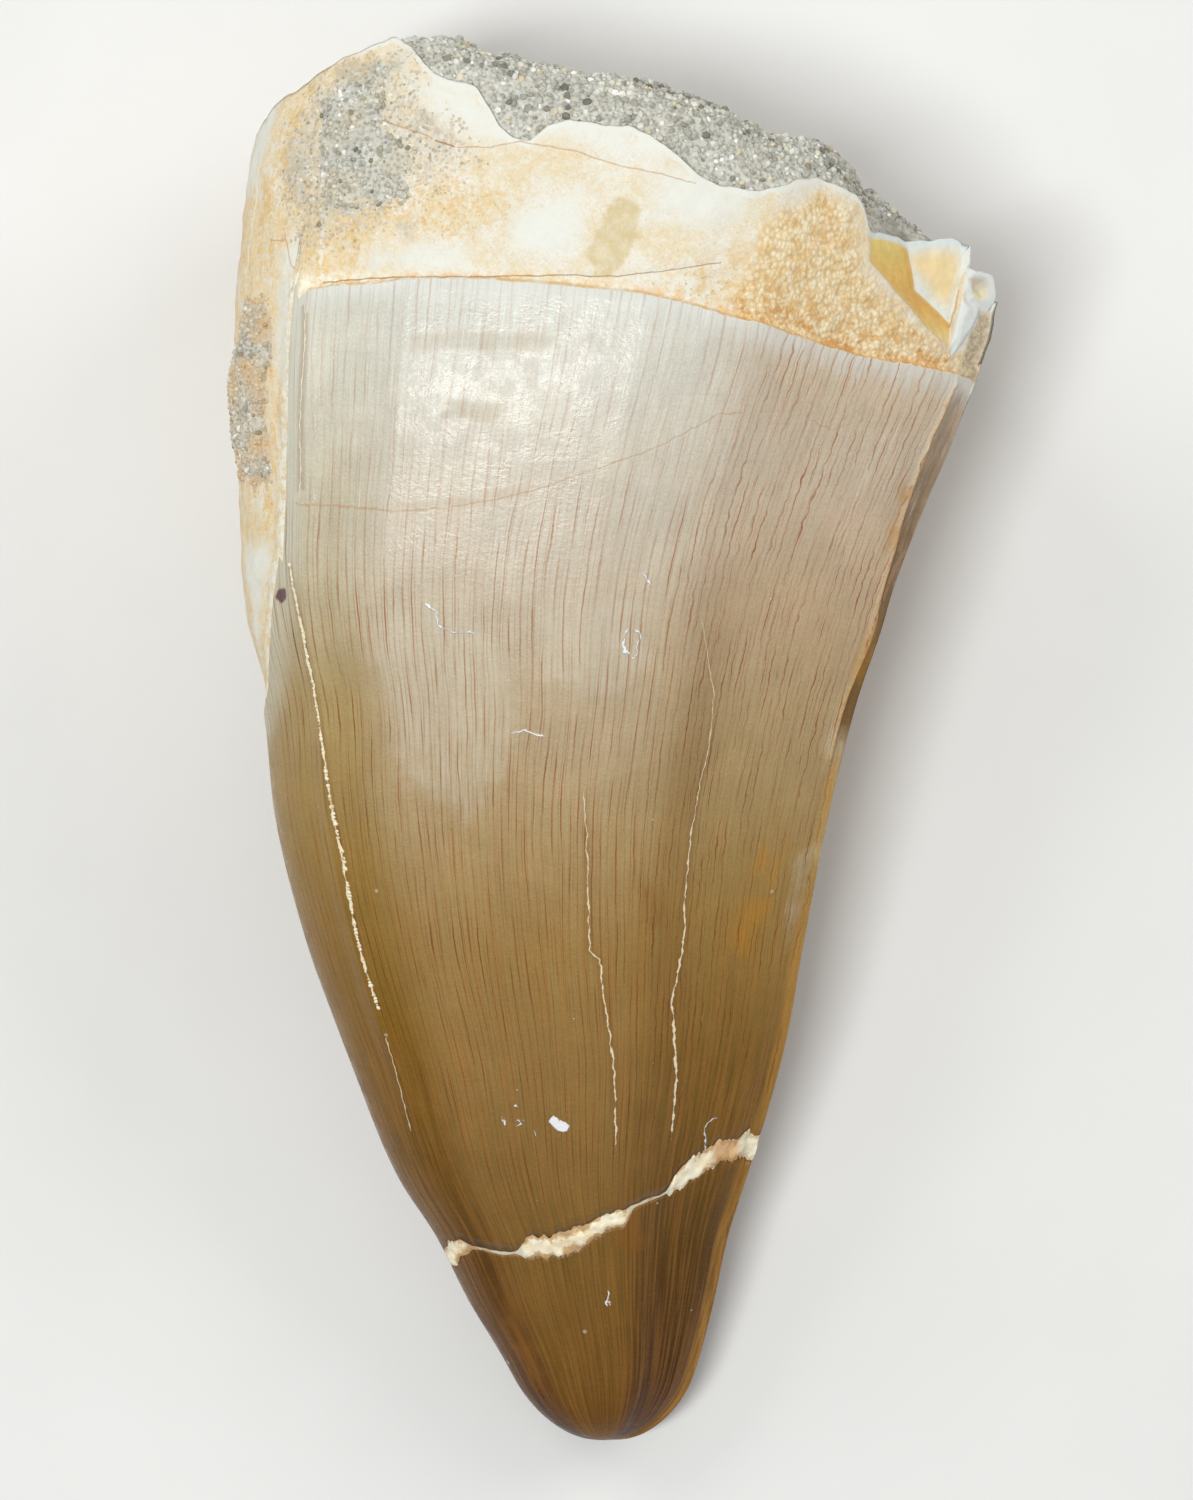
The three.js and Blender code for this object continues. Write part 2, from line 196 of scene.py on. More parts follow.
@dataclass(frozen=True)
class ToothForm:
    """The tooth's shape, from the same driving dimensions as the solids, in millimetres."""

    tip_y: float = -29.68
    tip_rounding: float = 2.98
    roundness: float = 2.4
    enamel: float = 0.3
    widest: float = 0.64
    across: float = 0.91
    above_left: float = 0.91
    below_left: float = 0.85
    below_right: float = 1.2
    upper_right: Table = (
        (0, 1), (0.15, 0.985), (0.3, 0.92), (0.4, 0.835), (0.5, 0.695), (0.6, 0.55), (0.75, 0.36),
        (0.9, 0.165), (1, 0),
    )
    # Height along the tooth, then its left and right edge, its top and its underside
    stations: tuple[tuple[float, ...], ...] = (
        (-29.7, -2.8, 2.25, 4.4, 0), (-26.2, -4.5, 3.4, 5.8, 0.05), (-23.6, -6, 4.05, 7, 0.2),
        (-20.9, -7.3, 4.6, 8.35, 0.5), (-18.4, -8.85, 5.35, 9.7, 0.7), (-13.3, -10.85, 6.8, 12.45, 0.8),
        (-8.3, -12.6, 7.7, 14.9, 0.65), (-3.3, -13.8, 8.6, 17.1, 0.3), (1.7, -14.35, 9.8, 18.9, -0.05),
        (4.2, -15, 10.6, 19.65, -0.2), (6.6, -15.35, 11.35, 20.3, -0.3), (11.6, -15.5, 13.4, 21.3, -0.5),
        (16, -15.6, 15.35, 21.8, -0.5), (20, -15.4, 16.2, 21.8, -0.45), (24.3, -14.8, 16, 21.3, 0.3),
        (28, -13.6, 15.5, 20.6, 1.2),
    )
    rim_table: Table = (
        (0, 17.8), (3, 18.1), (5, 18.4), (9.5, 18.75), (14, 18.95), (20, 19), (23.8, 19.05), (24.8, 19.2),
        (25.4, 19.7), (28.2, 20.1), (31.2, 20.3), (34, 20.33), (39, 20.25), (44, 20.22), (50, 20.43),
        (52.6, 20.6), (53.6, 21.35), (55.3, 21.9), (59.6, 22.3), (64, 22.4), (68, 22.1), (75, 21.9),
        (80.5, 22.4), (84.5, 23.4), (88.5, 24.2), (93, 24.5), (100, 24.4), (103.5, 23.8), (107.5, 24.3),
        (112.5, 25.9), (120, 26.6), (126, 27.6), (130.5, 28.1), (135, 27.8), (140, 27.5), (144.5, 27.1),
        (149, 26.7), (154, 26.2), (160, 26), (170, 25.1), (180, 24.5), (190, 24.7), (200, 25.2),
        (220, 26.1), (245, 26.2), (270, 25.4), (290, 23.9), (305, 22.3), (320, 20.4), (335, 18.8),
        (350, 17.9),
    )
    enamel_edge_table: Table = (
        (0, 14.5), (10, 14.7), (23, 14.9), (35, 15.1), (46, 15.3), (54, 15.6), (62, 16), (69, 16.5),
        (76, 16.9), (87, 17.6), (98, 18), (112, 18.3), (128, 18.1), (137, 18), (142, 17.6),
        (143.8, 16.8), (144.6, 9.6), (147, 7.3), (150, 5.7), (154, 4.1), (159, 2.9), (164, 2),
        (180, 1), (195, 2.2), (207, 6.5), (218, 11), (232, 14.5), (250, 15.8), (280, 15.6),
        (310, 15), (340, 14.6),
    )
    break_table: Table = (
        (2, -16.35), (18, -16.45), (34, -16.7), (44, -17.2), (53, -17.9), (56.5, -18.7), (64, -19.05),
        (72.5, -19.45), (79, -19.65), (87.5, -20.1), (98.5, -20.55), (110, -20.8), (114.5, -21.25),
        (123, -21.3), (137, -21.1), (145, -20.9), (152, -20.9), (165, -21.3), (180, -21.5), (210, -21),
        (240, -20.1), (270, -19.1), (300, -17.9), (330, -16.9),
    )
    break_width_table: Table = (
        (2, 1.2), (18, 1.15), (30, 0.95), (42, 1.1), (53, 0.9), (56.5, 0.4), (64, 0.38), (70, 0.4),
        (73, 0.72), (80, 0.7), (88, 0.9), (100, 0.95), (110, 0.75), (114.5, 0.4), (123, 0.38),
        (137, 0.38), (145, 0.6), (155, 0.8), (165, 0.7), (180, 0.5), (210, 0.5), (240, 0.5), (270, 0.6),
        (300, 0.6), (330, 0.9),
    )
    crest_table: Table = (
        (-14.5, 24.6), (-12.5, 26), (-11, 27.3), (-8.5, 28.1), (-6.6, 28.3), (-5, 27.7), (-3.3, 27.4),
        (-1.7, 26.95), (0, 26.7), (1.6, 26.3), (3.2, 25.95), (4.9, 25.3), (5.8, 24.8), (6.5, 24.5),
        (8.2, 24.5), (9, 24.15), (9.6, 23.6), (10.1, 22.7), (10.8, 22.4), (11.8, 21.7), (12.7, 21),
        (13.4, 20.5), (14.2, 20.2), (15, 19.8),
    )
    prism_angles: tuple[float, ...] = (68, 86, 120, 139.5)
    prism_flatness: float = 0.55
    # Angle, height and spread of each cutting edge
    cutting_edges: tuple[tuple[float, float, float], ...] = ((0, 0.3, 5), (139.5, 0.2, 4))
    left_edge_fade: tuple[float, float] = (-17, -10)
    wall_at_rim: float = 2
    wall_deep: float = 3.6
    cavity_floor: float = 15.2
    lip_drop: float = 0.35
    # Where the hollow's wall keeps below the broken corner
    corner: float = 32
    corner_fade: tuple[float, float] = (26, 14)
    corner_drop: float = 1.2
    # Height of the middle of the break's faces
    break_middle: float = -19.6

    @cached_property
    def sides(self) -> Curve:
        """The left and right edge, the top and the underside along the tooth."""
        return through(self.stations)

    @cached_property
    def upper_right_at(self) -> Curve:
        """The height of the upper right quarter, as a share, from the middle to the edge."""
        return through(self.upper_right)

    @cached_property
    def rim(self) -> Curve:
        """The height of the root's broken rim at an angle."""
        return round_through(self.rim_table)

    @cached_property
    def enamel_edge(self) -> Curve:
        """The height of the enamel's edge at an angle."""
        return round_through(self.enamel_edge_table)

    @cached_property
    def break_top(self) -> Curve:
        """The height of the break's upper lip at an angle."""
        return round_through(self.break_table)

    @cached_property
    def break_width(self) -> Curve:
        """The width of the break at an angle."""
        return round_through(self.break_width_table)

    @cached_property
    def crest(self) -> Curve:
        """The height of the sand's crest across the tooth."""
        return through(self.crest_table)

    def section(self, y: np.ndarray) -> tuple[np.ndarray, ...]:
        """Measures the section at a height.

        Args:
            y: heights along the tooth.

        Returns:
            Its middle's x and z, half its width, and its reach up and down from the middle.
        """
        left, right, top, under = np.moveaxis(self.sides(y), -1, 0)
        t = np.clip((self.tip_y + self.tip_rounding - np.asarray(y, float)) / self.tip_rounding, 0, 1)
        shrink = (1 - t**self.roundness) ** (1 / self.roundness)
        z = under + self.widest * (top - under)
        return (left + right) / 2, z, shrink * (right - left) / 2, shrink * (top - z), shrink * (z - under)

    def prism_factor(self, angle: np.ndarray) -> np.ndarray:
        """How much nearer the middle a flat prism face lies than the round section."""
        factor = np.ones_like(angle)
        for start, stop in zip(self.prism_angles, self.prism_angles[1:]):
            half = math.radians((stop - start) / 2)
            off = np.radians(angle - (start + stop) / 2)
            flat = 1 - self.prism_flatness * (1 - math.cos(half) / np.cos(off))
            factor = np.where((angle >= start) & (angle <= stop), flat, factor)
        return factor

    def edge_height(self, angle: np.ndarray, y: np.ndarray) -> np.ndarray:
        """How far the cutting edges stand out: both run out at the root, the left one at the tip too."""
        right, left = (
            tall * np.exp(-((turn_between(angle, at) / spread) ** 2))
            for at, tall, spread in self.cutting_edges
        )
        whole = right + left * smooth_step(y, *self.left_edge_fade)
        return whole * smooth_step(self.enamel_edge(angle) - y, 0, 3)

    def surface(self, angle: np.ndarray, y: np.ndarray, out: np.ndarray = 0.0) -> np.ndarray:
        """Finds points of the tooth's surface.

        Args:
            angle: angles round the tooth.
            y: heights along it.
            out: how far to move each point out of the surface.

        Returns:
            The points, with x, y and z as the last axis. None lies below the ground.
        """
        angle, y, out = np.broadcast_arrays(np.mod(angle, 360).astype(float), np.asarray(y, float), out)
        x, z, half_width, up, down = self.section(y)
        turn = np.radians(angle)
        c, n = np.cos(turn), np.sin(turn)
        depth = np.where(n >= 0, up, down)
        above = np.where(c < 0, np.abs(n) ** self.above_left, self.upper_right_at(np.abs(c) ** self.across))
        below = -(np.abs(n) ** np.where(c < 0, self.below_left, self.below_right))
        factor = self.prism_factor(angle)
        away = np.stack([c * depth, n * half_width], -1)
        away = away / np.maximum(np.linalg.norm(away, axis=-1, keepdims=True), 1e-9)
        reach = out + self.edge_height(angle, y)
        height = z + factor * depth * np.where(n >= 0, above, below) + reach * away[..., 1]
        width = factor * half_width * np.sign(c) * np.abs(c) ** self.across + reach * away[..., 0]
        return np.stack([x + width, y, np.maximum(0, height)], -1)

    def middle(self, y: np.ndarray) -> np.ndarray:
        """The middle of the section at a height, as points."""
        x, z, *_ = self.section(y)
        return np.stack([x, np.asarray(y, float) + 0 * x, z], -1)

    def hollow_ring(self, angle: np.ndarray, share: float, clearance: float) -> np.ndarray:
        """Finds a ring of the hollow in the root.

        Args:
            angle: angles round the tooth.
            share: how deep the ring lies, from 0 at the rim to 1 at the hollow's floor.
            clearance: how far inside the wall it stays.

        Returns:
            One point for each angle.
        """
        rim = self.rim(angle) - self.lip_drop
        y = lerp(rim, self.cavity_floor + clearance, share)
        wall = lerp(self.wall_deep, self.wall_at_rim, np.exp((y - rim) / 4))
        outside, middle = self.surface(angle, y), self.middle(y)
        inset = (wall + clearance) / np.linalg.norm(outside - middle, axis=-1)
        ring = lerp(outside, middle, inset[..., None])
        off = np.abs(turn_between(angle, self.corner))
        ring[..., 2] -= self.corner_drop * smooth_step(off, *self.corner_fade)
        return ring


@dataclass(frozen=True)
class Trace:
    """A line on the tooth, such as a crack: angle and height of its places, and half its width."""

    places: Table
    half_width: float
    start_share: float = 1.0
    end_share: float = 1.0


@dataclass(frozen=True)
class Chart:
    """Where vertices lie on the tooth: angle, height and the millimetres that a degree spans there."""

    angle: np.ndarray
    y: np.ndarray
    degree: np.ndarray

    FAR = 2.0
    REACH = 0.5

    def offset(self, place: tuple[float, float]) -> tuple[np.ndarray, np.ndarray]:
        """How far each vertex lies from a place, round the tooth and along it, in millimetres."""
        return turn_between(self.angle, place[0]) * self.degree, self.y - place[1]

    def segment(self, start: tuple[float, float], stop: tuple[float, float]) -> tuple[np.ndarray, ...]:
        """Measures each vertex against a straight stretch.

        Args:
            start, stop: its two ends, as angle and height.

        Returns:
            The signed distance, the share along it, and whether the vertex lies beside it.
        """
        across, along = self.offset(start)
        run = turn_between(np.asarray(stop[0]), start[0]) * self.degree
        rise = stop[1] - start[1]
        raw = (across * run + along * rise) / (run**2 + rise**2 + 1e-12)
        share = np.clip(raw, 0, 1)
        distance = np.hypot(across - share * run, along - share * rise)
        side = np.where(run * along - rise * across < 0, -1.0, 1.0)
        return side * distance, share, raw

    def line(self, traces: Sequence[Trace]) -> tuple[np.ndarray, np.ndarray]:
        """Measures each vertex against the nearest of several lines.

        Args:
            traces: the lines.

        Returns:
            The signed distance to the line, and half its width there, which is negative away from it.
        """
        distance = np.full(self.angle.shape, self.FAR)
        width = np.full(self.angle.shape, -0.1)
        for trace in traces:
            last = len(trace.places) - 2
            for i, (start, stop) in enumerate(zip(trace.places, trace.places[1:])):
                gap, share, raw = self.segment(start, stop)
                place = (i + share) / (last + 1)
                taper = lerp(trace.start_share, trace.end_share, place)
                past = ((raw < 0) & (i == 0)) | ((raw > 1) & (i == last))
                here = np.where(past, -0.1, trace.half_width * taper)
                near = np.abs(gap) < np.abs(distance)
                distance = np.where(near, gap, distance)
                width = np.where(near, here, width)
        return distance, np.where(np.abs(distance) > self.REACH, -0.1, width)

    def zone(self, polygons: Sequence[Table]) -> np.ndarray:
        """Measures how far inside the nearest of several patches each vertex lies.

        Args:
            polygons: the patches' outlines, as angle and height.

        Returns:
            Millimetres, positive inside and negative outside.
        """
        result = np.full(self.angle.shape, -self.FAR)
        for outline in polygons:
            distance = np.full(self.angle.shape, self.FAR)
            inside = np.zeros(self.angle.shape, bool)
            origin = outline[0][0]
            across = turn_between(self.angle, origin)
            for start, stop in zip(outline, (*outline[1:], outline[0])):
                gap, _, _ = self.segment(start, stop)
                distance = np.minimum(distance, np.abs(gap))
                run, rise = stop[0] - start[0], stop[1] - start[1]
                crosses = (start[1] > self.y) != (stop[1] > self.y)
                reach = start[0] - origin + run * (self.y - start[1]) / (rise if rise else 1e-9)
                inside ^= crosses & (across < reach)
            result = np.maximum(result, np.where(inside, distance, -distance))
        return result

    def measure(
        self, zones: dict[str, Sequence[Table]], lines: dict[str, Sequence[Trace]]
    ) -> dict[str, np.ndarray]:
        """Measures each vertex against named patches and named lines.

        Args:
            zones: the patches' outlines by name.
            lines: the lines by name.

        Returns:
            The values by name: one for a patch, and the distance and half width for a line.
        """
        values = {label: self.zone(polygons) for label, polygons in zones.items()}
        for label, traces in lines.items():
            values[f"{label}_line"], values[f"{label}_width"] = self.line(traces)
        return values

    def drop(self, facets: Sequence[Sequence[Corner]]) -> np.ndarray:
        """Reads how deep flat facets lie.

        Args:
            facets: triangles whose corners are angle, height and depth.

        Returns:
            The depth at each vertex, 0 outside the facets.
        """
        depth = np.zeros(self.angle.shape)
        for a, b, c in facets:
            x, y = turn_between(self.angle, a[0]), self.y - a[1]
            bx, by, cx, cy = b[0] - a[0], b[1] - a[1], c[0] - a[0], c[1] - a[1]
            area = bx * cy - by * cx
            second, third = (x * cy - y * cx) / area, (bx * y - by * x) / area
            inside = (second >= -1e-6) & (third >= -1e-6) & (second + third <= 1 + 1e-6)
            depth = np.where(inside, a[2] + second * (b[2] - a[2]) + third * (c[2] - a[2]), depth)
        return depth


@dataclass(frozen=True)
class Marks:
    """What time and breakage drew on the tooth, and patches of painted sheen, as angles and heights."""

    left_edge: Table = (
        (142.8, 7.04), (140.4, 4.43), (140.8, 1.62), (138.8, -2.01), (137.4, -4.86), (138.4, -8.15),
        (138.3, -10.97),
    )
    cracks: tuple[Trace, ...] = (
        Trace(((65.7, 4.78), (60.1, 1.74), (59.1, -0.31), (59.9, -1.73), (60.2, -3.03)), 0.04, 0.2, 1),
        Trace(
            ((60.2, -3.03), (60.5, -4.91), (60.5, -6.38), (60.7, -6.96), (59.7, -7.58), (60.6, -9.15),
             (62.4, -10.56), (61.2, -12.27), (59.4, -13.96), (58.1, -16.26)), 0.13, 0.35, 1,
        ),
        Trace(((84.1, -1.96), (83, -4.15), (82.7, -6.51)), 0.04, 0.3, 1),
        Trace(
            ((82.7, -6.51), (82.6, -8.64), (80.6, -8.85), (79.8, -10.51), (78.9, -11.84), (77.7, -13.65),
             (76.2, -16.83)), 0.09, 0.5, 0.7,
        ),
        Trace(((140.4, 17.39), (139.3, 15.59), (139.9, 12.81), (139.4, 9.62)), 0.05, 0.7, 0.6),
        Trace(((139, -12.2), (139.6, -13.2), (140.6, -14.3), (142, -16.2)), 0.035, 0.8, 0.5),
    )
    rust_lines: tuple[Trace, ...] = (
        Trace(
            ((141, 9.45), (130.5, 9.32), (121.5, 9.17), (118.7, 9.09), (109.3, 9.23), (103.7, 9.46),
             (97, 9.81), (93.5, 10.13), (89.3, 10.6), (85, 11.07), (80, 11.63), (75.9, 12.31),
             (72.1, 12.92), (68.1, 13.02)), 0.075, 0.8, 0.4,
        ),
        Trace(((55.8, 12.85), (50.2, 12.49), (46.8, 12.71), (45.9, 13.52), (44.2, 13.81)), 0.03, 0.5, 0.5),
        Trace(
            ((114.4, 23.56), (108.7, 23.55), (104.4, 23.77), (96, 23.35), (89.9, 22.7),
             (81.1, 22.07)), 0.02,
        ),
        Trace(((127.5, 24.64), (120.1, 24.15), (117.9, 23.86)), 0.024),
        Trace(((149, 20.42), (146.2, 19.03), (143.3, 18.69)), 0.024),
        Trace(((154.4, 20.11), (148.7, 20.02)), 0.02),
    )
    dark_lines: tuple[Trace, ...] = (
        Trace(
            ((137.7, 18.25), (129.1, 18.36), (119.9, 18.39), (110, 18.36), (94.9, 18.41), (93, 18.33),
             (90, 18.36), (83.7, 18.6), (76.5, 18.95)), 0.03, 1, 0.3,
        ),
        Trace(((117.9, 23.86), (114.4, 23.56)), 0.045, 0.7, 0.7),
    )
    cream_strips: tuple[Trace, ...] = (
        Trace(((144.3, 21.4), (145.1, 18.94)), 0.11, 0.4, 1),
        Trace(((138.2, 21.22), (138.5, 18.97)), 0.1, 0.5, 1),
        Trace(((164.2, 24.6), (163.5, 21.8), (166, 18.6)), 0.12, 0.6, 0.4),
        Trace(((127.5, 24.5), (124, 24.2), (119.6, 23.7)), 0.15, 0.5, 0.8),
        Trace(((118.7, 23.4), (112, 23.05)), 0.12, 0.7, 0.5),
    )
    scuffs: tuple[Trace, ...] = (
        Trace(((112.3, 5.4), (110.6, 5.2), (109.5, 5.08)), 0.045),
        Trace(((110, 4.72), (107.8, 4.32), (105.5, 4.16), (103, 4.24)), 0.04, 1, 0.5),
        Trace(((78.3, 6.78), (76.2, 6.19), (76.3, 5.91)), 0.06, 0.5, 1),
        Trace(((79.4, 4.3), (79.2, 3.5), (77, 3.2), (76.6, 4.2), (78.4, 4.4)), 0.055, 1, 0.5),
        Trace(((97, 0.21), (93.5, 0.37), (90.9, 0.09)), 0.04),
        Trace(((106.8, -15.38), (106.4, -16.01)), 0.05),
        Trace(((103.1, -15.12), (101.7, -15.08)), 0.035),
        Trace(((102.4, -15.97), (101.2, -15.7)), 0.05),
        Trace(((98.3, -15.9), (98, -16.4)), 0.045),
        Trace(((82, -22.9), (81.4, -23.7)), 0.045),
        Trace(((39.6, -15.73), (44.5, -15.84), (46, -16.22), (44.3, -16.52), (41.3, -16.91)), 0.03),
    )
    # Height and angle of the worn ridge beside the right cutting edge
    ridge: Table = (
        (-1.3, 11.8), (0.9, 12.6), (2.1, 11), (3.3, 8), (4.6, 7), (5.8, 9.8), (7.4, 12),
        (8.7, 15.6), (10.1, 17.4), (12.4, 18.8), (14, 19), (20, 19.5),
    )
    ridge_reach: tuple[float, float] = (-0.8, 14.2)
    gold: tuple[Table, ...] = (
        ((27.5, -4.3), (29.6, -4.75), (31.4, -5.32), (33.1, -5.94), (32.3, -5.32), (30, -4.5)),
        ((39.6, -6.55), (43, -7.37), (45.5, -8.4), (39.4, -8.83), (35.5, -7.8), (33.9, -6.77)),
        ((38.3, -4.57), (40.2, -5.11), (40.8, -5.52), (38.8, -5.4), (36.8, -4.82)),
        ((23.2, 10.47), (18, 10.12), (17.7, 9.67), (22.2, 9.99)),
        ((19.4, 9.18), (16.9, 8.38), (16.8, 7.85), (18.2, 8.58)),
        ((8, -1), (3, -1.2), (2, -3.6), (6, -3.2)),
        ((10, 4.4), (6, 4.4), (4, 2.4), (8, 2.6)),
    )
    brown: tuple[Table, ...] = (
        ((71.6, -5.87), (66.4, -6.08), (66, -7.52), (70.1, -7.3)),
        ((78.1, -19.27), (68.4, -19.08), (66.6, -21.24), (75.2, -21.3)),
        ((127.5, -23.19), (123.6, -23.4), (128.2, -26.46), (142.3, -27.15), (142.6, -25.62)),
    )
    # Pale patches; the second and the fourth, on the middle of the enamel, are painted sheen
    pale: tuple[Table, ...] = (
        ((7.3, -4.52), (12.3, -5.76), (13.3, -7.21), (16, -8.25), (21.3, -7.61), (20.5, -6.16),
         (18.5, -4.92)),
        ((91.7, 5.6), (77.5, 5.6), (74.4, 3.2), (82.7, 1.6), (90.7, 2.4)),
        ((17, 0.9), (14, 0.2), (8, 0.5), (6, -0.6), (12, -1), (17, 0)),
        ((124, 4.6), (110, 5.4), (97, 4.2), (97, -1), (105, -3), (119, -1.4)),
    )
    dull: tuple[Table, ...] = (
        ((119, 15.6), (97, 15.5), (97, 15.95), (108, 16.1), (119, 16.05)),
        ((112, 12.9), (104, 12.7), (101, 13.2), (110, 13.4)),
        ((119, 9), (104, 9.3), (96, 9.8), (97, 10.1), (104, 9.7), (119, 9.3)),
    )
    chip: tuple[Table, ...] = (
        ((93.3, -15.52), (92, -15.43), (91.1, -15.66), (89.9, -15.7), (89.2, -15.87), (88.2, -16.05),
         (89.1, -16.17), (90.3, -16.17), (91.7, -16.1), (93.3, -15.91), (93.8, -15.7)),
        ((91.8, -17.05), (91, -17.05), (90.8, -17.25), (91.6, -17.3)),
    )
    violet: tuple[Table, ...] = (
        ((149.6, 5.82), (147.8, 6.09), (145.3, 6.13), (143.9, 5.92), (144.6, 5.64), (147.3, 5.49)),
    )
    orange: tuple[Table, ...] = (
        ((74.4, 17.6), (71.7, 20.25), (67.3, 21.3), (61.2, 22), (56, 21.4), (53.5, 19.2), (47.6, 17.95),
         (29, 15.85), (20, 15.6), (16, 14), (41.3, 14.6), (55.3, 15.1), (68.2, 15.9), (74, 16.4)),
    )
    ochre: tuple[Table, ...] = (
        ((87.3, 17.81), (81.1, 18.3), (74.2, 19.2), (69.8, 16), (80.4, 16.6)),
        ((134, 22.4), (122, 22.6), (112, 22.6), (104, 21.2), (112, 20), (124, 20.3),
         (137, 20.6)),
        ((154.5, 25.6), (144.7, 25.4), (142.9, 24.04), (150.9, 24.5)),
        ((161.8, 22.98), (151.3, 22.87), (148.5, 21.87), (153, 21.11), (155.4, 20.32), (159.4, 20.77)),
        ((143.5, 21), (139.5, 21.4), (139.5, 18.8), (143.5, 18.8)),
        ((137, 21.2), (131, 21), (131, 19.2), (137, 18.7)),
    )
    stain: tuple[Table, ...] = (
        ((90.8, 21.75), (88.2, 21.1), (88.4, 19.91), (89.5, 18.92), (91.2, 18.35), (94, 19.3),
         (92.8, 20.31)),
    )
    white: tuple[Table, ...] = (
        ((131.2, 27.63), (126, 27.67), (125.3, 26.53), (115.2, 26.23), (108, 24.7), (96, 24.8),
         (86, 23.6), (86, 22.9), (98, 23.9), (108.7, 23.6), (117.1, 24.66), (121.2, 25.45),
         (125.8, 25.93), (128.6, 26.76)),
        ((104.6, 20.9), (95.4, 21.8), (95, 20.19), (96.5, 19.2), (103.7, 19.4)),
        ((86.4, 22.6), (71.9, 22.3), (74.6, 20.85), (80.4, 20.4), (86, 20.9)),
        ((127, 19.5), (112, 19.6), (110, 18.7), (128, 18.7)),
        ((160.3, 7.9), (153.2, 7.87), (153.6, 7.07), (160.5, 5), (166, 4), (168, 7.5)),
        ((176, 25.2), (163, 25.8), (162, 24.3), (165, 22.6), (176, 22)),
        ((149, 19.6), (145.5, 20.4), (144.5, 18), (145.5, 14), (148, 14.5)),
    )
    grey: tuple[Table, ...] = (
        ((152, 23.85), (145.6, 23.46), (143.5, 21.9), (141.2, 20.52), (143, 20.6), (147.8, 22.07),
         (150.9, 22.5)),
        ((122.6, 25.3), (119.9, 25.07), (117.4, 24.58), (114.8, 23.97), (116.6, 23.65), (119.3, 24.14)),
        ((122.5, 20.5), (119.9, 20.58), (120.1, 20.1), (121.5, 20)),
        ((142.5, 26.9), (127, 27.4), (127, 26.7), (140, 25.6)),
    )
    gritty: tuple[Table, ...] = (
        ((146, 26.4), (128, 27.2), (123, 25.6), (121, 24.2), (122.5, 22.6), (126, 21),
         (131, 20.6), (136, 20.2), (140, 20), (144, 20.6), (149, 22), (152, 24)),
        ((122.4, 25.2), (115, 24), (112, 23.2), (118, 22.4), (123, 23)),
    )

    @property
    def cream_lines(self) -> tuple[Trace, ...]:
        """The cream cracks and the chipped left cutting edge."""
        return (*self.cracks, Trace(self.left_edge, 0.15, 0.9, 0.6))

    @cached_property
    def ridge_angle(self) -> Curve:
        """The angle of the worn ridge at a height."""
        return through(self.ridge)


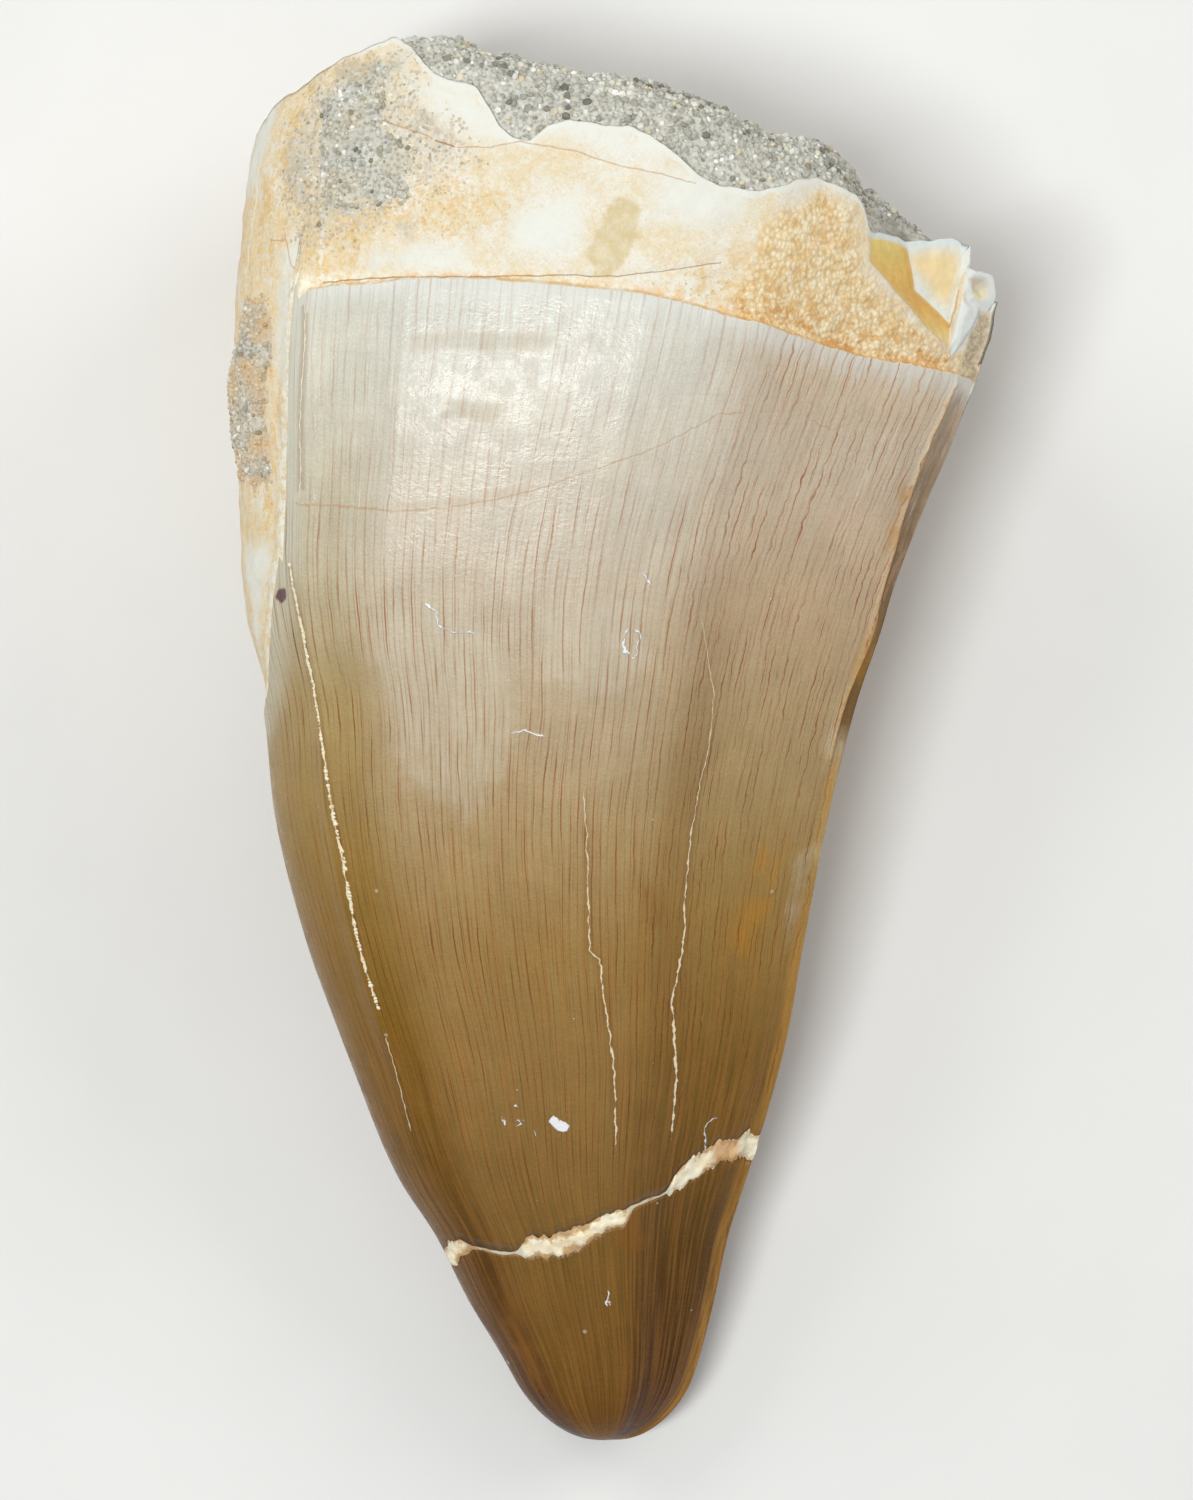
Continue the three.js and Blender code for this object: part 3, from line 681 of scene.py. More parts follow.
@dataclass(frozen=True)
class Scar:
    """The broken corner of the root: flat facets whose corners are angle, height and depth."""

    outline_top: Corner = (53.2, 22.5, 0.12)
    outline_bend: Corner = (52.1, 19.25, 0.12)
    outline_middle: Corner = (45.8, 18.15, 0.12)
    outline_low: Corner = (34.8, 16.6, 0.1)
    outline_foot: Corner = (26.2, 15.85, 0.05)
    valley_top: Corner = (49.2, 22.5, 0.85)
    valley_bend: Corner = (40.3, 18.22, 0.95)
    valley_foot: Corner = (28, 16.9, 0.75)
    plate_right: Corner = (27.4, 19, 0.5)
    plate_top: Corner = (33, 22.5, 0.5)
    knob: Corner = (24.9, 19.5, 0.12)
    knob_top: Corner = (26.5, 22.5, 0.15)
    wall_top: Corner = (25.3, 18.6, 0)
    wall_foot: Corner = (25.6, 16.3, 0)
    # The knob, the cup beside it and the chalky break below them
    lobes: tuple[Table, ...] = (
        ((28.4, 20.7), (24, 20.6), (24.4, 19.3), (25.4, 19.1), (27.3, 19.2), (28, 19.8)),
        ((26, 18.8), (23.8, 19.3), (14, 19.2), (9.5, 19), (4.7, 18.6), (-3, 18.2), (-2, 17.5),
         (9.3, 17.4), (15.8, 17.6), (22.6, 17.8), (25.5, 18.3)),
        ((25.2, 17.9), (15.8, 17.7), (14.5, 17.2), (17.2, 16.6), (20.8, 15.9), (24, 15.55), (26.4, 16.3),
         (26.3, 17.3)),
    )
    cup: Table = (
        (24.7, 18.7), (22.9, 18.85), (17.6, 18.8), (14.4, 18.45), (13.4, 18), (17.3, 17.85),
        (22.2, 18.05),
    )
    # Outline of the peach middle of the plate
    core: Table = (
        (43.5, 19.55), (40.5, 19.85), (33.9, 19.95), (29.2, 19.8), (28.2, 19.1), (28.4, 18.3), (30, 17.6),
        (34.5, 17.9), (38.8, 18.6), (41.8, 19),
    )
    # Foot and top of the rust line between the plate and the cup
    seam: Trace = Trace(((28, 16.75), (27.2, 17.5), (27.1, 18.3)), 0.045, 1, 0.4)

    @property
    def amber(self) -> Table:
        """The outline of the amber slope."""
        corners = (
            self.outline_top, self.outline_bend, self.outline_middle, self.outline_low, self.outline_foot,
            self.valley_foot, self.valley_bend, self.valley_top,
        )
        return tuple(corner[:2] for corner in corners)

    @property
    def plate(self) -> Table:
        """The outline of the cream plate."""
        corners = (
            self.valley_top, self.valley_bend, self.valley_foot, self.plate_right, self.knob, self.knob_top,
        )
        return tuple(corner[:2] for corner in corners)

    @property
    def facets(self) -> tuple[tuple[Corner, ...], ...]:
        """The flat triangles of the slope, the plate and the wall beside it."""
        return (
            (self.outline_top, self.outline_bend, self.valley_top),
            (self.outline_bend, self.valley_bend, self.valley_top),
            (self.outline_bend, self.outline_middle, self.valley_bend),
            (self.outline_middle, self.outline_low, self.valley_bend),
            (self.outline_low, self.valley_foot, self.valley_bend),
            (self.outline_low, self.outline_foot, self.valley_foot),
            (self.valley_top, self.valley_bend, self.plate_top),
            (self.valley_bend, self.plate_right, self.plate_top),
            (self.valley_bend, self.valley_foot, self.plate_right),
            (self.plate_right, self.knob, self.plate_top),
            (self.knob, self.knob_top, self.plate_top),
            (self.plate_right, self.wall_top, self.knob),
            (self.plate_right, self.wall_foot, self.wall_top),
            (self.plate_right, self.valley_foot, self.wall_foot),
            (self.valley_foot, self.outline_foot, self.wall_foot),
        )


@dataclass
class Skin:
    """A closed mesh through rings of points, from one end point to the other."""

    start: np.ndarray
    rings: np.ndarray
    end: np.ndarray
    values: dict[str, np.ndarray] = field(default_factory=dict)
    row_materials: np.ndarray | None = None
    round_mm: np.ndarray | None = None

    LENGTHWISE = "lengthwise"

    def _faces(self) -> tuple[list[list[int]], list[int]]:
        """Lists the faces and the row that each belongs to."""
        rows, count, _ = self.rings.shape
        column = np.arange(count)
        beside = (column + 1) % count
        last = 1 + rows * count
        faces = [[0, 1 + a, 1 + b] for a, b in zip(column.tolist(), beside.tolist())]
        owners = [0] * count
        for row in range(rows - 1):
            low, high = 1 + row * count, 1 + (row + 1) * count
            quads = np.stack([low + column, high + column, high + beside, low + beside], -1)
            faces.extend(quads.tolist())
            owners.extend([row] * count)
        top = last - count
        faces.extend([last, top + b, top + a] for a, b in zip(column.tolist(), beside.tolist()))
        owners.extend([rows - 1] * count)
        return faces, owners

    def _map_lengthwise(self, mesh: bpy.types.Mesh) -> None:
        """Gives the mesh a map of millimetres round the tooth and along it, for what runs lengthwise.

        Args:
            mesh: the mesh that these rings made.
        """
        rows, count, _ = self.rings.shape
        left, right = self.round_mm[:-1], self.round_mm[1:]
        along = self.rings[..., 1]
        beside = np.roll(along, -1, axis=1)
        first = np.stack([left, left, right], -1), np.stack([along[0], along[0], beside[0]], -1)
        low, high = along[:-1], along[1:]
        quads_u = np.broadcast_to(np.stack([left, left, right, right], -1), (rows - 1, count, 4))
        quads_v = np.stack([low, high, beside[1:], beside[:-1]], -1)
        final = np.stack([left, right, left], -1), np.stack([along[-1], beside[-1], along[-1]], -1)
        u = np.concatenate([first[0].ravel(), quads_u.ravel(), final[0].ravel()])
        v = np.concatenate([first[1].ravel(), quads_v.ravel(), final[1].ravel()])
        layer = mesh.uv_layers.new(name=self.LENGTHWISE)
        layer.data.foreach_set("uv", np.stack([u, v], -1).ravel())

    def build(
        self, name: str, offset: np.ndarray, materials: Sequence[Material]
    ) -> bpy.types.Object:
        """Makes the object.

        Args:
            name: its name.
            offset: what moves the tooth's own millimetres into the frame's.
            materials: its materials.

        Returns:
            The object, with its place in its mesh.
        """
        points = np.vstack([self.start[None], self.rings.reshape(-1, 3), self.end[None]])
        faces, owners = self._faces()
        mesh = bpy.data.meshes.new(name)
        mesh.from_pydata(((points + offset) * MM).tolist(), [], faces)
        mesh.polygons.foreach_set("use_smooth", np.ones(len(faces), bool))
        for material in materials:
            mesh.materials.append(material)
        if self.row_materials is not None:
            mesh.polygons.foreach_set("material_index", self.row_materials[np.array(owners)])
        for label, grid in self.values.items():
            values = np.concatenate([[grid[0].mean()], grid.ravel(), [grid[-1].mean()]])
            attribute = mesh.attributes.new(label, "FLOAT", "POINT")
            attribute.data.foreach_set("value", values.astype(np.float32))
        if self.round_mm is not None:
            self._map_lengthwise(mesh)
        mesh.update()
        made = bpy.data.objects.new(name, mesh)
        bpy.context.scene.collection.objects.link(made)
        return made


class Graph:
    """Adds nodes to a node tree with few words. Its textures read one point unless told another."""

    def __init__(self, tree: bpy.types.NodeTree) -> None:
        """Keeps the tree.

        Args:
            tree: the tree that the nodes go into.
        """
        self.tree = tree
        self.point: Socket | None = None

    def node(self, kind: str, **settings: object) -> bpy.types.Node:
        """Adds a node and sets its properties."""
        made = self.tree.nodes.new(kind)
        for label, value in settings.items():
            setattr(made, label, value)
        return made

    def feed(self, socket: Socket, value: object) -> None:
        """Links a socket to another one, or sets its value."""
        if isinstance(value, Socket):
            self.tree.links.new(value, socket)
        elif value is not None:
            socket.default_value = value

    def fill(self, made: bpy.types.Node, **inputs: object) -> bpy.types.Node:
        """Feeds inputs by name, in which an underscore stands for a space."""
        for label, value in inputs.items():
            self.feed(made.inputs[label.replace("_", " ")], value)
        return made

    def math(self, operation: str, *values: object, clamp: bool = False) -> Socket:
        """Adds a Math node."""
        made = self.node("ShaderNodeMath", operation=operation, use_clamp=clamp)
        for socket, value in zip(made.inputs, values):
            self.feed(socket, value)
        return made.outputs[0]

    def product(self, *values: object) -> Socket:
        """Multiplies values."""
        return reduce(lambda first, second: self.math("MULTIPLY", first, second), values)

    def vector(self, operation: str, *values: object) -> Socket:
        """Adds a Vector Math node with vector inputs."""
        made = self.node("ShaderNodeVectorMath", operation=operation)
        for socket, value in zip(made.inputs, values):
            self.feed(socket, value)
        return made.outputs["Vector"]

    def step(self, value: object, low: object, high: object, to: tuple[float, float] = (0, 1)) -> Socket:
        """Adds a smooth, clamped Map Range node from low and high to a range."""
        made = self.node("ShaderNodeMapRange", interpolation_type="SMOOTHSTEP", clamp=True)
        self.fill(made, Value=value, From_Min=low, From_Max=high, To_Min=to[0], To_Max=to[1])
        return made.outputs["Result"]

    def mix(self, share: object, first: object, second: object, blend: str = "MIX") -> Socket:
        """Adds a colour Mix node."""
        made = self.node("ShaderNodeMix", data_type="RGBA", blend_type=blend, clamp_factor=True)
        self.feed(made.inputs["Factor"], share)
        colours = [socket for socket in made.inputs if socket.type == "RGBA"]
        self.feed(colours[0], first)
        self.feed(colours[1], second)
        return next(socket for socket in made.outputs if socket.type == "RGBA")

    def noise(self, size: float, detail: float = 2, roughness: float = 0.5, at: object = None) -> Socket:
        """Adds a Noise texture whose lumps have a size in the unit of the points."""
        made = self.node("ShaderNodeTexNoise", noise_dimensions="3D")
        self.fill(made, Vector=at or self.point, Scale=1 / size, Detail=detail, Roughness=roughness)
        return made.outputs["Fac"]

    def cells(self, size: float) -> bpy.types.Node:
        """Adds a Voronoi texture whose cells have a size in the unit of the points."""
        made = self.node("ShaderNodeTexVoronoi", feature="F1", voronoi_dimensions="3D")
        return self.fill(made, Vector=self.point, Scale=1 / size)

    def ramp(self, value: object, stops: Sequence[tuple[float, tuple[float, ...]]]) -> Socket:
        """Adds a Color Ramp.

        Args:
            value: what it reads, from 0 to 1.
            stops: positions and linear colours.

        Returns:
            Its colour.
        """
        made = self.node("ShaderNodeValToRGB")
        elements = made.color_ramp.elements
        elements[0].position, elements[0].color = stops[0]
        elements[1].position, elements[1].color = stops[-1]
        for position, stop in stops[1:-1]:
            elements.new(position).color = stop
        self.feed(made.inputs["Fac"], value)
        return made.outputs["Color"]

    def value(self, name: str) -> Socket:
        """Reads one of the mesh's own values."""
        return self.node("ShaderNodeAttribute", attribute_name=name).outputs["Fac"]

    def part(self, vector: object, axis: str) -> Socket:
        """One coordinate of a vector."""
        made = self.node("ShaderNodeSeparateXYZ")
        self.feed(made.inputs[0], vector)
        return made.outputs[axis]

    def gradient(self, height: object, stops: Shades) -> Socket:
        """Goes through display colours at heights along the tooth."""
        low, high = stops[0][0], stops[-1][0]
        share = self.math("DIVIDE", self.math("SUBTRACT", height, low), high - low, clamp=True)
        return self.ramp(share, [((y - low) / (high - low), colour(*tint)) for y, tint in stops])

    def bump(self, height: object, distance: float, strength: float, normal: object = None) -> Socket:
        """Adds a Bump node; the distance is in millimetres."""
        made = self.node("ShaderNodeBump")
        self.fill(made, Height=height, Distance=distance * MM, Strength=strength, Normal=normal)
        return made.outputs["Normal"]

    def use(self, tree: bpy.types.NodeTree, **inputs: object) -> Socket:
        """Places a node group and returns its first output."""
        made = self.node("ShaderNodeGroup", node_tree=tree)
        return self.fill(made, **inputs).outputs[0]


class Effects:
    """The shader groups that several finishes share, each built once."""

    NUMBER, COLOUR = "NodeSocketFloat", "NodeSocketColor"

    def __init__(self) -> None:
        """Builds every group."""
        self.line = self._line()
        self.patch = self._patch()
        self.lengthwise = self._lengthwise()
        self.specks = self._specks()
        self.sand = self._sand()

    def _open(
        self, name: str, result: str, numbers: Sequence[str], vector: str = "Point"
    ) -> tuple[Graph, dict[str, Socket], bpy.types.Node]:
        """Starts a group.

        Args:
            name: the group's name.
            result: the socket type of its one output.
            numbers: the names of its inputs that are numbers.
            vector: the name of its vector input.

        Returns:
            The graph, the inputs by name, and the node that takes the result.
        """
        tree = bpy.data.node_groups.new(name, "ShaderNodeTree")
        for label in numbers:
            tree.interface.new_socket(label, in_out="INPUT", socket_type="NodeSocketFloat")
        tree.interface.new_socket(vector, in_out="INPUT", socket_type="NodeSocketVector")
        tree.interface.new_socket("Result", in_out="OUTPUT", socket_type=result)
        graph = Graph(tree)
        source = graph.node("NodeGroupInput")
        given = {socket.name: socket for socket in source.outputs if socket.name}
        graph.point = given[vector]
        return graph, given, graph.node("NodeGroupOutput")

    def _line(self) -> bpy.types.NodeTree:
        """A thin line from the distance to it: it wavers, and noise breaks it up."""
        inputs = ("Distance", "Half Width", "Breaks", "Waver")
        graph, given, out = self._open("thin_line", self.NUMBER, inputs)
        waver = graph.math("SUBTRACT", graph.noise(0.5, 3), 0.5)
        bent = graph.math("MULTIPLY_ADD", waver, given["Waver"], given["Distance"])
        breaks = graph.product(graph.noise(0.35, 2), given["Breaks"])
        width = graph.product(given["Half Width"], graph.math("SUBTRACT", 1.35, breaks))
        gap = graph.math("SUBTRACT", graph.math("ABSOLUTE", bent), width)
        graph.feed(out.inputs[0], graph.step(gap, 0.03, -0.015))
        return graph.tree

    def _patch(self) -> bpy.types.NodeTree:
        """A patch from how far inside it a place lies, with a ragged soft border."""
        inputs = ("Inside", "Softness", "Ragged")
        graph, given, out = self._open("ragged_patch", self.NUMBER, inputs)
        coarse = graph.math("SUBTRACT", graph.noise(1.1, 4, 0.65), 0.5)
        moved = graph.math("MULTIPLY_ADD", coarse, given["Ragged"], given["Inside"])
        low = graph.product(given["Softness"], -1)
        graph.feed(out.inputs[0], graph.step(moved, low, given["Softness"]))
        return graph.tree

    def _lengthwise(self) -> bpy.types.NodeTree:
        """Fine lines that run along the tooth on the lengthwise map: they waver, fade and break."""
        inputs = ("Spacing", "Half Width", "Waver")
        graph, given, out = self._open("lengthwise_lines", self.NUMBER, inputs, "Map")
        chart, spacing = graph.point, given["Spacing"]
        slow = graph.noise(1.0, 2, at=graph.vector("MULTIPLY", chart, (0.5, 0.14, 0.0)))
        quick = graph.noise(1.0, 2, at=graph.vector("MULTIPLY", chart, (1.6, 1.5, 0.0)))
        faded = graph.noise(1.0, 3, at=graph.vector("MULTIPLY", chart, (3.0, 0.3, 0.0)))
        phase = graph.math("DIVIDE", graph.part(chart, "X"), spacing)
        phase = graph.math("MULTIPLY_ADD", slow, 1.7, phase)
        phase = graph.math("FRACT", graph.math("MULTIPLY_ADD", quick, given["Waver"], phase))
        off = graph.product(graph.math("ABSOLUTE", graph.math("SUBTRACT", phase, 0.5)), spacing)
        half = given["Half Width"]
        thin = graph.step(graph.math("SUBTRACT", off, half), 0.02, -0.012)
        graph.feed(out.inputs[0], graph.product(thin, graph.step(faded, 0.36, 0.66, (0.15, 1.0))))
        return graph.tree

    def _specks(self) -> bpy.types.NodeTree:
        """Small round specks, of which only a share is there."""
        graph, given, out = self._open("scattered_specks", self.NUMBER, ("Spacing", "Size", "Share"))
        made = graph.node("ShaderNodeTexVoronoi", feature="F1", voronoi_dimensions="3D")
        graph.fill(made, Vector=graph.point, Scale=graph.math("DIVIDE", 1.0, given["Spacing"]))
        tone = graph.node("ShaderNodeSeparateColor")
        graph.feed(tone.inputs[0], made.outputs["Color"])
        kept = graph.math("LESS_THAN", tone.outputs[0], given["Share"])
        radius = graph.product(given["Size"], graph.math("ADD", 0.4, tone.outputs[1]))
        radius = graph.math("DIVIDE", radius, given["Spacing"])
        disc = graph.step(made.outputs["Distance"], radius, graph.product(radius, 0.6))
        graph.feed(out.inputs[0], graph.product(disc, kept))
        return graph.tree

    def _sand(self) -> bpy.types.NodeTree:
        """The colours of sand grains, from a tone between 0 and 1 that each grain has."""
        graph, given, out = self._open("sand_colours", self.COLOUR, ("Tone",))
        grain = graph.ramp(given["Tone"], (
            (0.0, colour(104, 100, 88)), (0.07, colour(156, 154, 142)), (0.35, colour(190, 189, 178)),
            (0.65, colour(206, 206, 196)), (0.85, colour(218, 218, 208)), (0.9, colour(208, 192, 156)),
            (0.96, colour(236, 237, 230)), (1.0, colour(244, 245, 242)),
        ))
        shade = graph.step(graph.noise(0.9, 3), 0.3, 0.75, (0.9, 1.08))
        graph.feed(out.inputs[0], graph.mix(1.0, grain, shade, "MULTIPLY"))
        return graph.tree


class Coat(Graph):
    """A material whose colour is laid on in layers, and whose point is the place on the piece."""

    def __init__(self, name: str, effects: Effects | None = None) -> None:
        """Opens the material.

        Args:
            name: its name.
            effects: the shared shader groups, where it uses any.
        """
        self.material = bpy.data.materials.new(name)
        self.material.use_nodes = True
        super().__init__(self.material.node_tree)
        self.effects = effects
        self.shader = self.tree.nodes["Principled BSDF"]
        self.base: Socket | None = None
        # The point is in millimetres
        scaled = self.node("ShaderNodeVectorMath", operation="SCALE")
        self.feed(scaled.inputs[0], self.node("ShaderNodeTexCoord").outputs["Object"])
        self.feed(scaled.inputs["Scale"], 1 / MM)
        self.point = scaled.outputs["Vector"]

    def paint(self, under: object, tint: Tint | Socket, *shares: object) -> Socket:
        """Lays a display colour, or one from nodes, over another by the product of the shares."""
        over = tint if isinstance(tint, Socket) else colour(*tint)
        return self.mix(self.product(*shares), under, over)

    def lay(self, tint: Tint | Socket, *shares: object) -> None:
        """Lays a display colour, or one from nodes, over the base by the product of the shares."""
        self.base = self.paint(self.base, tint, *shares)

    def shade(self, factor: Socket) -> None:
        """Multiplies the base by a factor."""
        self.base = self.mix(1.0, self.base, factor, "MULTIPLY")

    def trace(self, label: str, breaks: float, waver: float) -> Socket:
        """Draws thin lines from the mesh's own distances to them and widths."""
        return self.use(
            self.effects.line, Distance=self.value(f"{label}_line"), Breaks=breaks, Waver=waver,
            Half_Width=self.value(f"{label}_width"), Point=self.point,
        )

    def area(self, label: str, softness: float, ragged: float) -> Socket:
        """Draws patches from how far inside them the mesh's own values say a place lies."""
        patch, inside = self.effects.patch, self.value(label)
        return self.use(patch, Inside=inside, Softness=softness, Ragged=ragged, Point=self.point)

    def specks(self, spacing: float, size: float, share: float) -> Socket:
        """Draws small round specks, of which only a share is there."""
        return self.use(self.effects.specks, Point=self.point, Spacing=spacing, Size=size, Share=share)

    def sand(self, tone: Socket) -> Socket:
        """The colour of a grain of sand that has a tone from 0 to 1."""
        return self.use(self.effects.sand, Tone=tone, Point=self.point)

    def dress(self, roughness: Socket, normal: Socket | None = None) -> Material:
        """Feeds the base, the roughness and the normal to the shader, and returns the material."""
        self.feed(self.shader.inputs["Base Color"], self.base)
        self.feed(self.shader.inputs["Roughness"], roughness)
        self.feed(self.shader.inputs["Normal"], normal)
        return self.material


@dataclass(frozen=True)
class EnamelFinish:
    """Glossy enamel: pale at the root and brown at the tip, with fine lines along the tooth."""

    effects: Effects
    name: str = "glossy_enamel"
    # Height along the tooth and colour: down the middle, the left flank and the right. The middle is paler
    # than the flanks partly as painted sheen
    middle: Shades = (
        (-29, (104, 68, 15)), (-21, (119, 89, 38)), (-14, (147, 115, 63)), (-8, (157, 126, 73)),
        (-3, (174, 148, 104)), (3, (189, 171, 141)), (8, (201, 189, 168)), (17, (206, 204, 191)),
    )
    left: Shades = (
        (-29, (60, 26, 12)), (-21, (92, 60, 14)), (-12, (123, 90, 22)), (-4, (148, 118, 58)),
        (2, (168, 145, 97)), (8, (188, 177, 148)), (17, (208, 205, 189)),
    )
    right: Shades = (
        (-29, (60, 26, 12)), (-21, (88, 59, 14)), (-12, (126, 94, 36)), (-6, (156, 126, 68)),
        (0, (173, 148, 104)), (6, (192, 168, 134)), (12, (202, 187, 163)), (17, (205, 186, 158)),
    )
    # Painted shade: darker colours by height for the strip past the worn ridge, which turns away from the
    # light
    shade_past_ridge: Shades = ((3, (108, 82, 48)), (8, (114, 92, 66)), (14, (156, 142, 120)))
    # Patch, strength and colour; two of the pale patches are painted sheen, a whitish highlight
    stains: tuple[tuple[str, float, Tint], ...] = (
        ("brown", 0.8, (134, 88, 32)), ("gold", 0.75, (180, 124, 34)), ("pale", 0.45, (204, 196, 176)),
        ("dull", 0.3, (188, 160, 120)),
    )
    line_tint: Tint = (202, 140, 94)
    cream: Tint = (236, 224, 190)
    rust: Tint = (178, 136, 92)
    roughness: float = 0.29
    sheen: float = 0.28

    def build(self) -> Material:
        """Makes the material."""
        coat = Coat(self.name, self.effects)
        chart = coat.node("ShaderNodeUVMap", uv_map=Skin.LENGTHWISE).outputs["UV"]
        height = coat.part(coat.point, "Y")
        self._body(coat, chart, height)
        self._stains(coat, chart)
        lines = self._lines(coat, chart, height)
        coat.lay(coat.mix(1.0, coat.base, colour(*self.line_tint), "MULTIPLY"), lines)
        self._glints(coat, chart)
        cracks, white = self._marks(coat)
        coat.shader.inputs["Specular IOR Level"].default_value = self.sheen
        return coat.dress(*self._gloss(coat, lines, cracks, white))

    def _body(self, coat: Coat, chart: Socket, height: Socket) -> None:
        """Lays the colour without lines and marks: gradients, painted shade past the ridge, streaks and
        soft blotches.
        """
        sway = coat.math("MULTIPLY_ADD", coat.noise(5.0, 3), 3.0, -1.5)
        swayed = coat.math("ADD", height, sway)
        coat.base = coat.gradient(swayed, self.middle)
        coat.lay(coat.gradient(swayed, self.left), coat.value("left_side"))
        coat.lay(coat.gradient(swayed, self.right), coat.value("right_side"))
        coat.lay((132, 96, 44), coat.value("valley"))
        # Painted shade on the strip past the worn ridge
        coat.lay(coat.gradient(height, self.shade_past_ridge), coat.value("ridge_shade"))
        low = coat.step(height, 3.0, -12.0, (0.25, 1.0))
        golden = coat.step(self._streaks(coat, chart, 0.35, 6.0), 0.4, 0.62)
        coat.lay((162, 112, 52), golden, low, 0.35)
        coat.lay((104, 72, 34), coat.step(self._streaks(coat, chart, 0.22, 4.0), 0.56, 0.7), low, 0.2)
        pink = coat.step(self._streaks(coat, chart, 0.3, 2.0), 0.48, 0.62, (0, 0.22))
        at_right = coat.step(coat.value("right_side"), 0.2, 0.9)
        coat.lay((206, 168, 146), pink, at_right, coat.step(height, 2.0, 8.0))
        coat.lay((150, 104, 62), coat.step(self._streaks(coat, chart, 3.5, 0.13), 0.52, 0.66), 0.05)
        blotches = coat.step(coat.noise(2.2, 4, 0.6), 0.35, 0.7, (0.94, 1.04))
        fine = coat.step(coat.noise(0.09, 3, 0.75), 0.25, 0.75, (0.9, 1.1))
        coat.shade(coat.product(blotches, fine))

    def _lines(self, coat: Coat, chart: Socket, height: Socket) -> Socket:
        """The fine lines along the tooth, in a coarse and a fine set: faint at the root and the tip."""
        lengthwise = self.effects.lengthwise
        waver = coat.step(coat.value("right_side"), 0.0, 1.0, (0.16, 0.9))
        coarse = coat.use(lengthwise, Map=chart, Spacing=0.42, Half_Width=0.028, Waver=waver)
        fine = coat.use(lengthwise, Map=chart, Spacing=0.25, Half_Width=0.018, Waver=waver)
        lines = coat.math("MAXIMUM", coarse, coat.product(fine, 0.5))
        from_root = coat.step(height, 15.0, 4.0, (0.42, 1.0))
        bolder = coat.step(coat.value("right_side"), 0.2, 0.9, (0.0, 0.5))
        from_root = coat.math("ADD", from_root, bolder, clamp=True)
        from_tip = coat.step(height, -25.0, -14.0, (0.5, 1.0))
        uneven = coat.step(coat.noise(2.5, 3), 0.3, 0.7, (0.6, 1.0))
        fewer = coat.step(coat.value("ridge_shade"), 0.0, 1.0, (1.0, 0.3))
        return coat.product(from_root, from_tip, uneven, fewer, lines)

    @staticmethod
    def _streaks(coat: Coat, chart: Socket, width: float, length: float) -> Socket:
        """Noise that is drawn out along the tooth."""
        squashed = coat.vector("MULTIPLY", chart, (1 / width, 1 / length, 0.0))
        return coat.noise(1.0, 3, 0.6, squashed)

    def _stains(self, coat: Coat, chart: Socket) -> None:
        """Draws streaky gold, brown and pale patches, two pale ones painted sheen, and the whitish veil at
        the root.
        """
        streaks = coat.step(self._streaks(coat, chart, 0.2, 1.8), 0.4, 0.62)
        streaky = coat.math("MULTIPLY_ADD", streaks, 0.55, 0.45)
        for label, strength, tint in self.stains:
            coat.lay(tint, coat.area(label, 0.55, 1.5), streaky, strength)
        streaky = coat.math("MULTIPLY_ADD", streaks, 0.5, 0.5)
        coat.lay((170, 126, 66), coat.value("golden"), streaky)
        beside = coat.step(coat.value("from_edge"), -1.8, -0.3, (0.0, 0.55))
        coat.lay((200, 198, 180), beside, coat.step(coat.value("left_side"), 0.6, 1.0))
        ragged = coat.math("MULTIPLY_ADD", self._streaks(coat, chart, 0.3, 1.5), 1.6, -0.8)
        veil = coat.step(coat.math("ADD", coat.value("from_edge"), ragged), -1.3, 0.0, (0, 0.7))
        coat.lay((214, 214, 206), veil, coat.value("front"))

    def _glints(self, coat: Coat, chart: Socket) -> None:
        """Draws thin whitish streaks between the lines, most of them near the root."""
        short = coat.step(self._streaks(coat, chart, 0.09, 2.2), 0.58, 0.7)
        near = coat.step(coat.part(chart, "Y"), 3.0, 14.0, (0.0, 0.4))
        coat.lay((232, 230, 222), short, near)

    def _marks(self, coat: Coat) -> tuple[Socket, Socket]:
        """Draws the cracks, scuffs and dust.

        Args:
            coat: the material's coat.

        Returns:
            The mask of the cracks and the mask of what is white and dull.
        """
        coat.lay(self.rust, coat.trace("rust", 1.6, 0.26), 0.5)
        worn = coat.trace("ridge", 1.2, 0.3)
        coat.lay((196, 150, 92), worn, 0.75)
        halo = coat.step(coat.math("ABSOLUTE", coat.value("cream_line")), 0.3, 0.06, (0, 0.35))
        coat.lay((128, 84, 34), halo, coat.step(coat.value("cream_width"), 0.0, 0.04))
        cream = coat.trace("cream", 2.05, 0.25)
        coat.lay(self.cream, cream, 0.95)
        coat.lay((226, 204, 196), coat.specks(1.6, 0.1, 0.3), 0.4)
        bits = coat.product(coat.specks(0.8, 0.04, 0.2), 0.5)
        white = coat.math("MAXIMUM", coat.trace("scuff", 1.6, 0.6), coat.area("chip", 0.03, 0.1))
        white = coat.math("MAXIMUM", white, bits)
        coat.lay((240, 239, 240), white)
        coat.lay((92, 60, 66), coat.area("violet", 0.06, 0.4), 0.9)
        return cream, coat.math("MAXIMUM", white, worn)

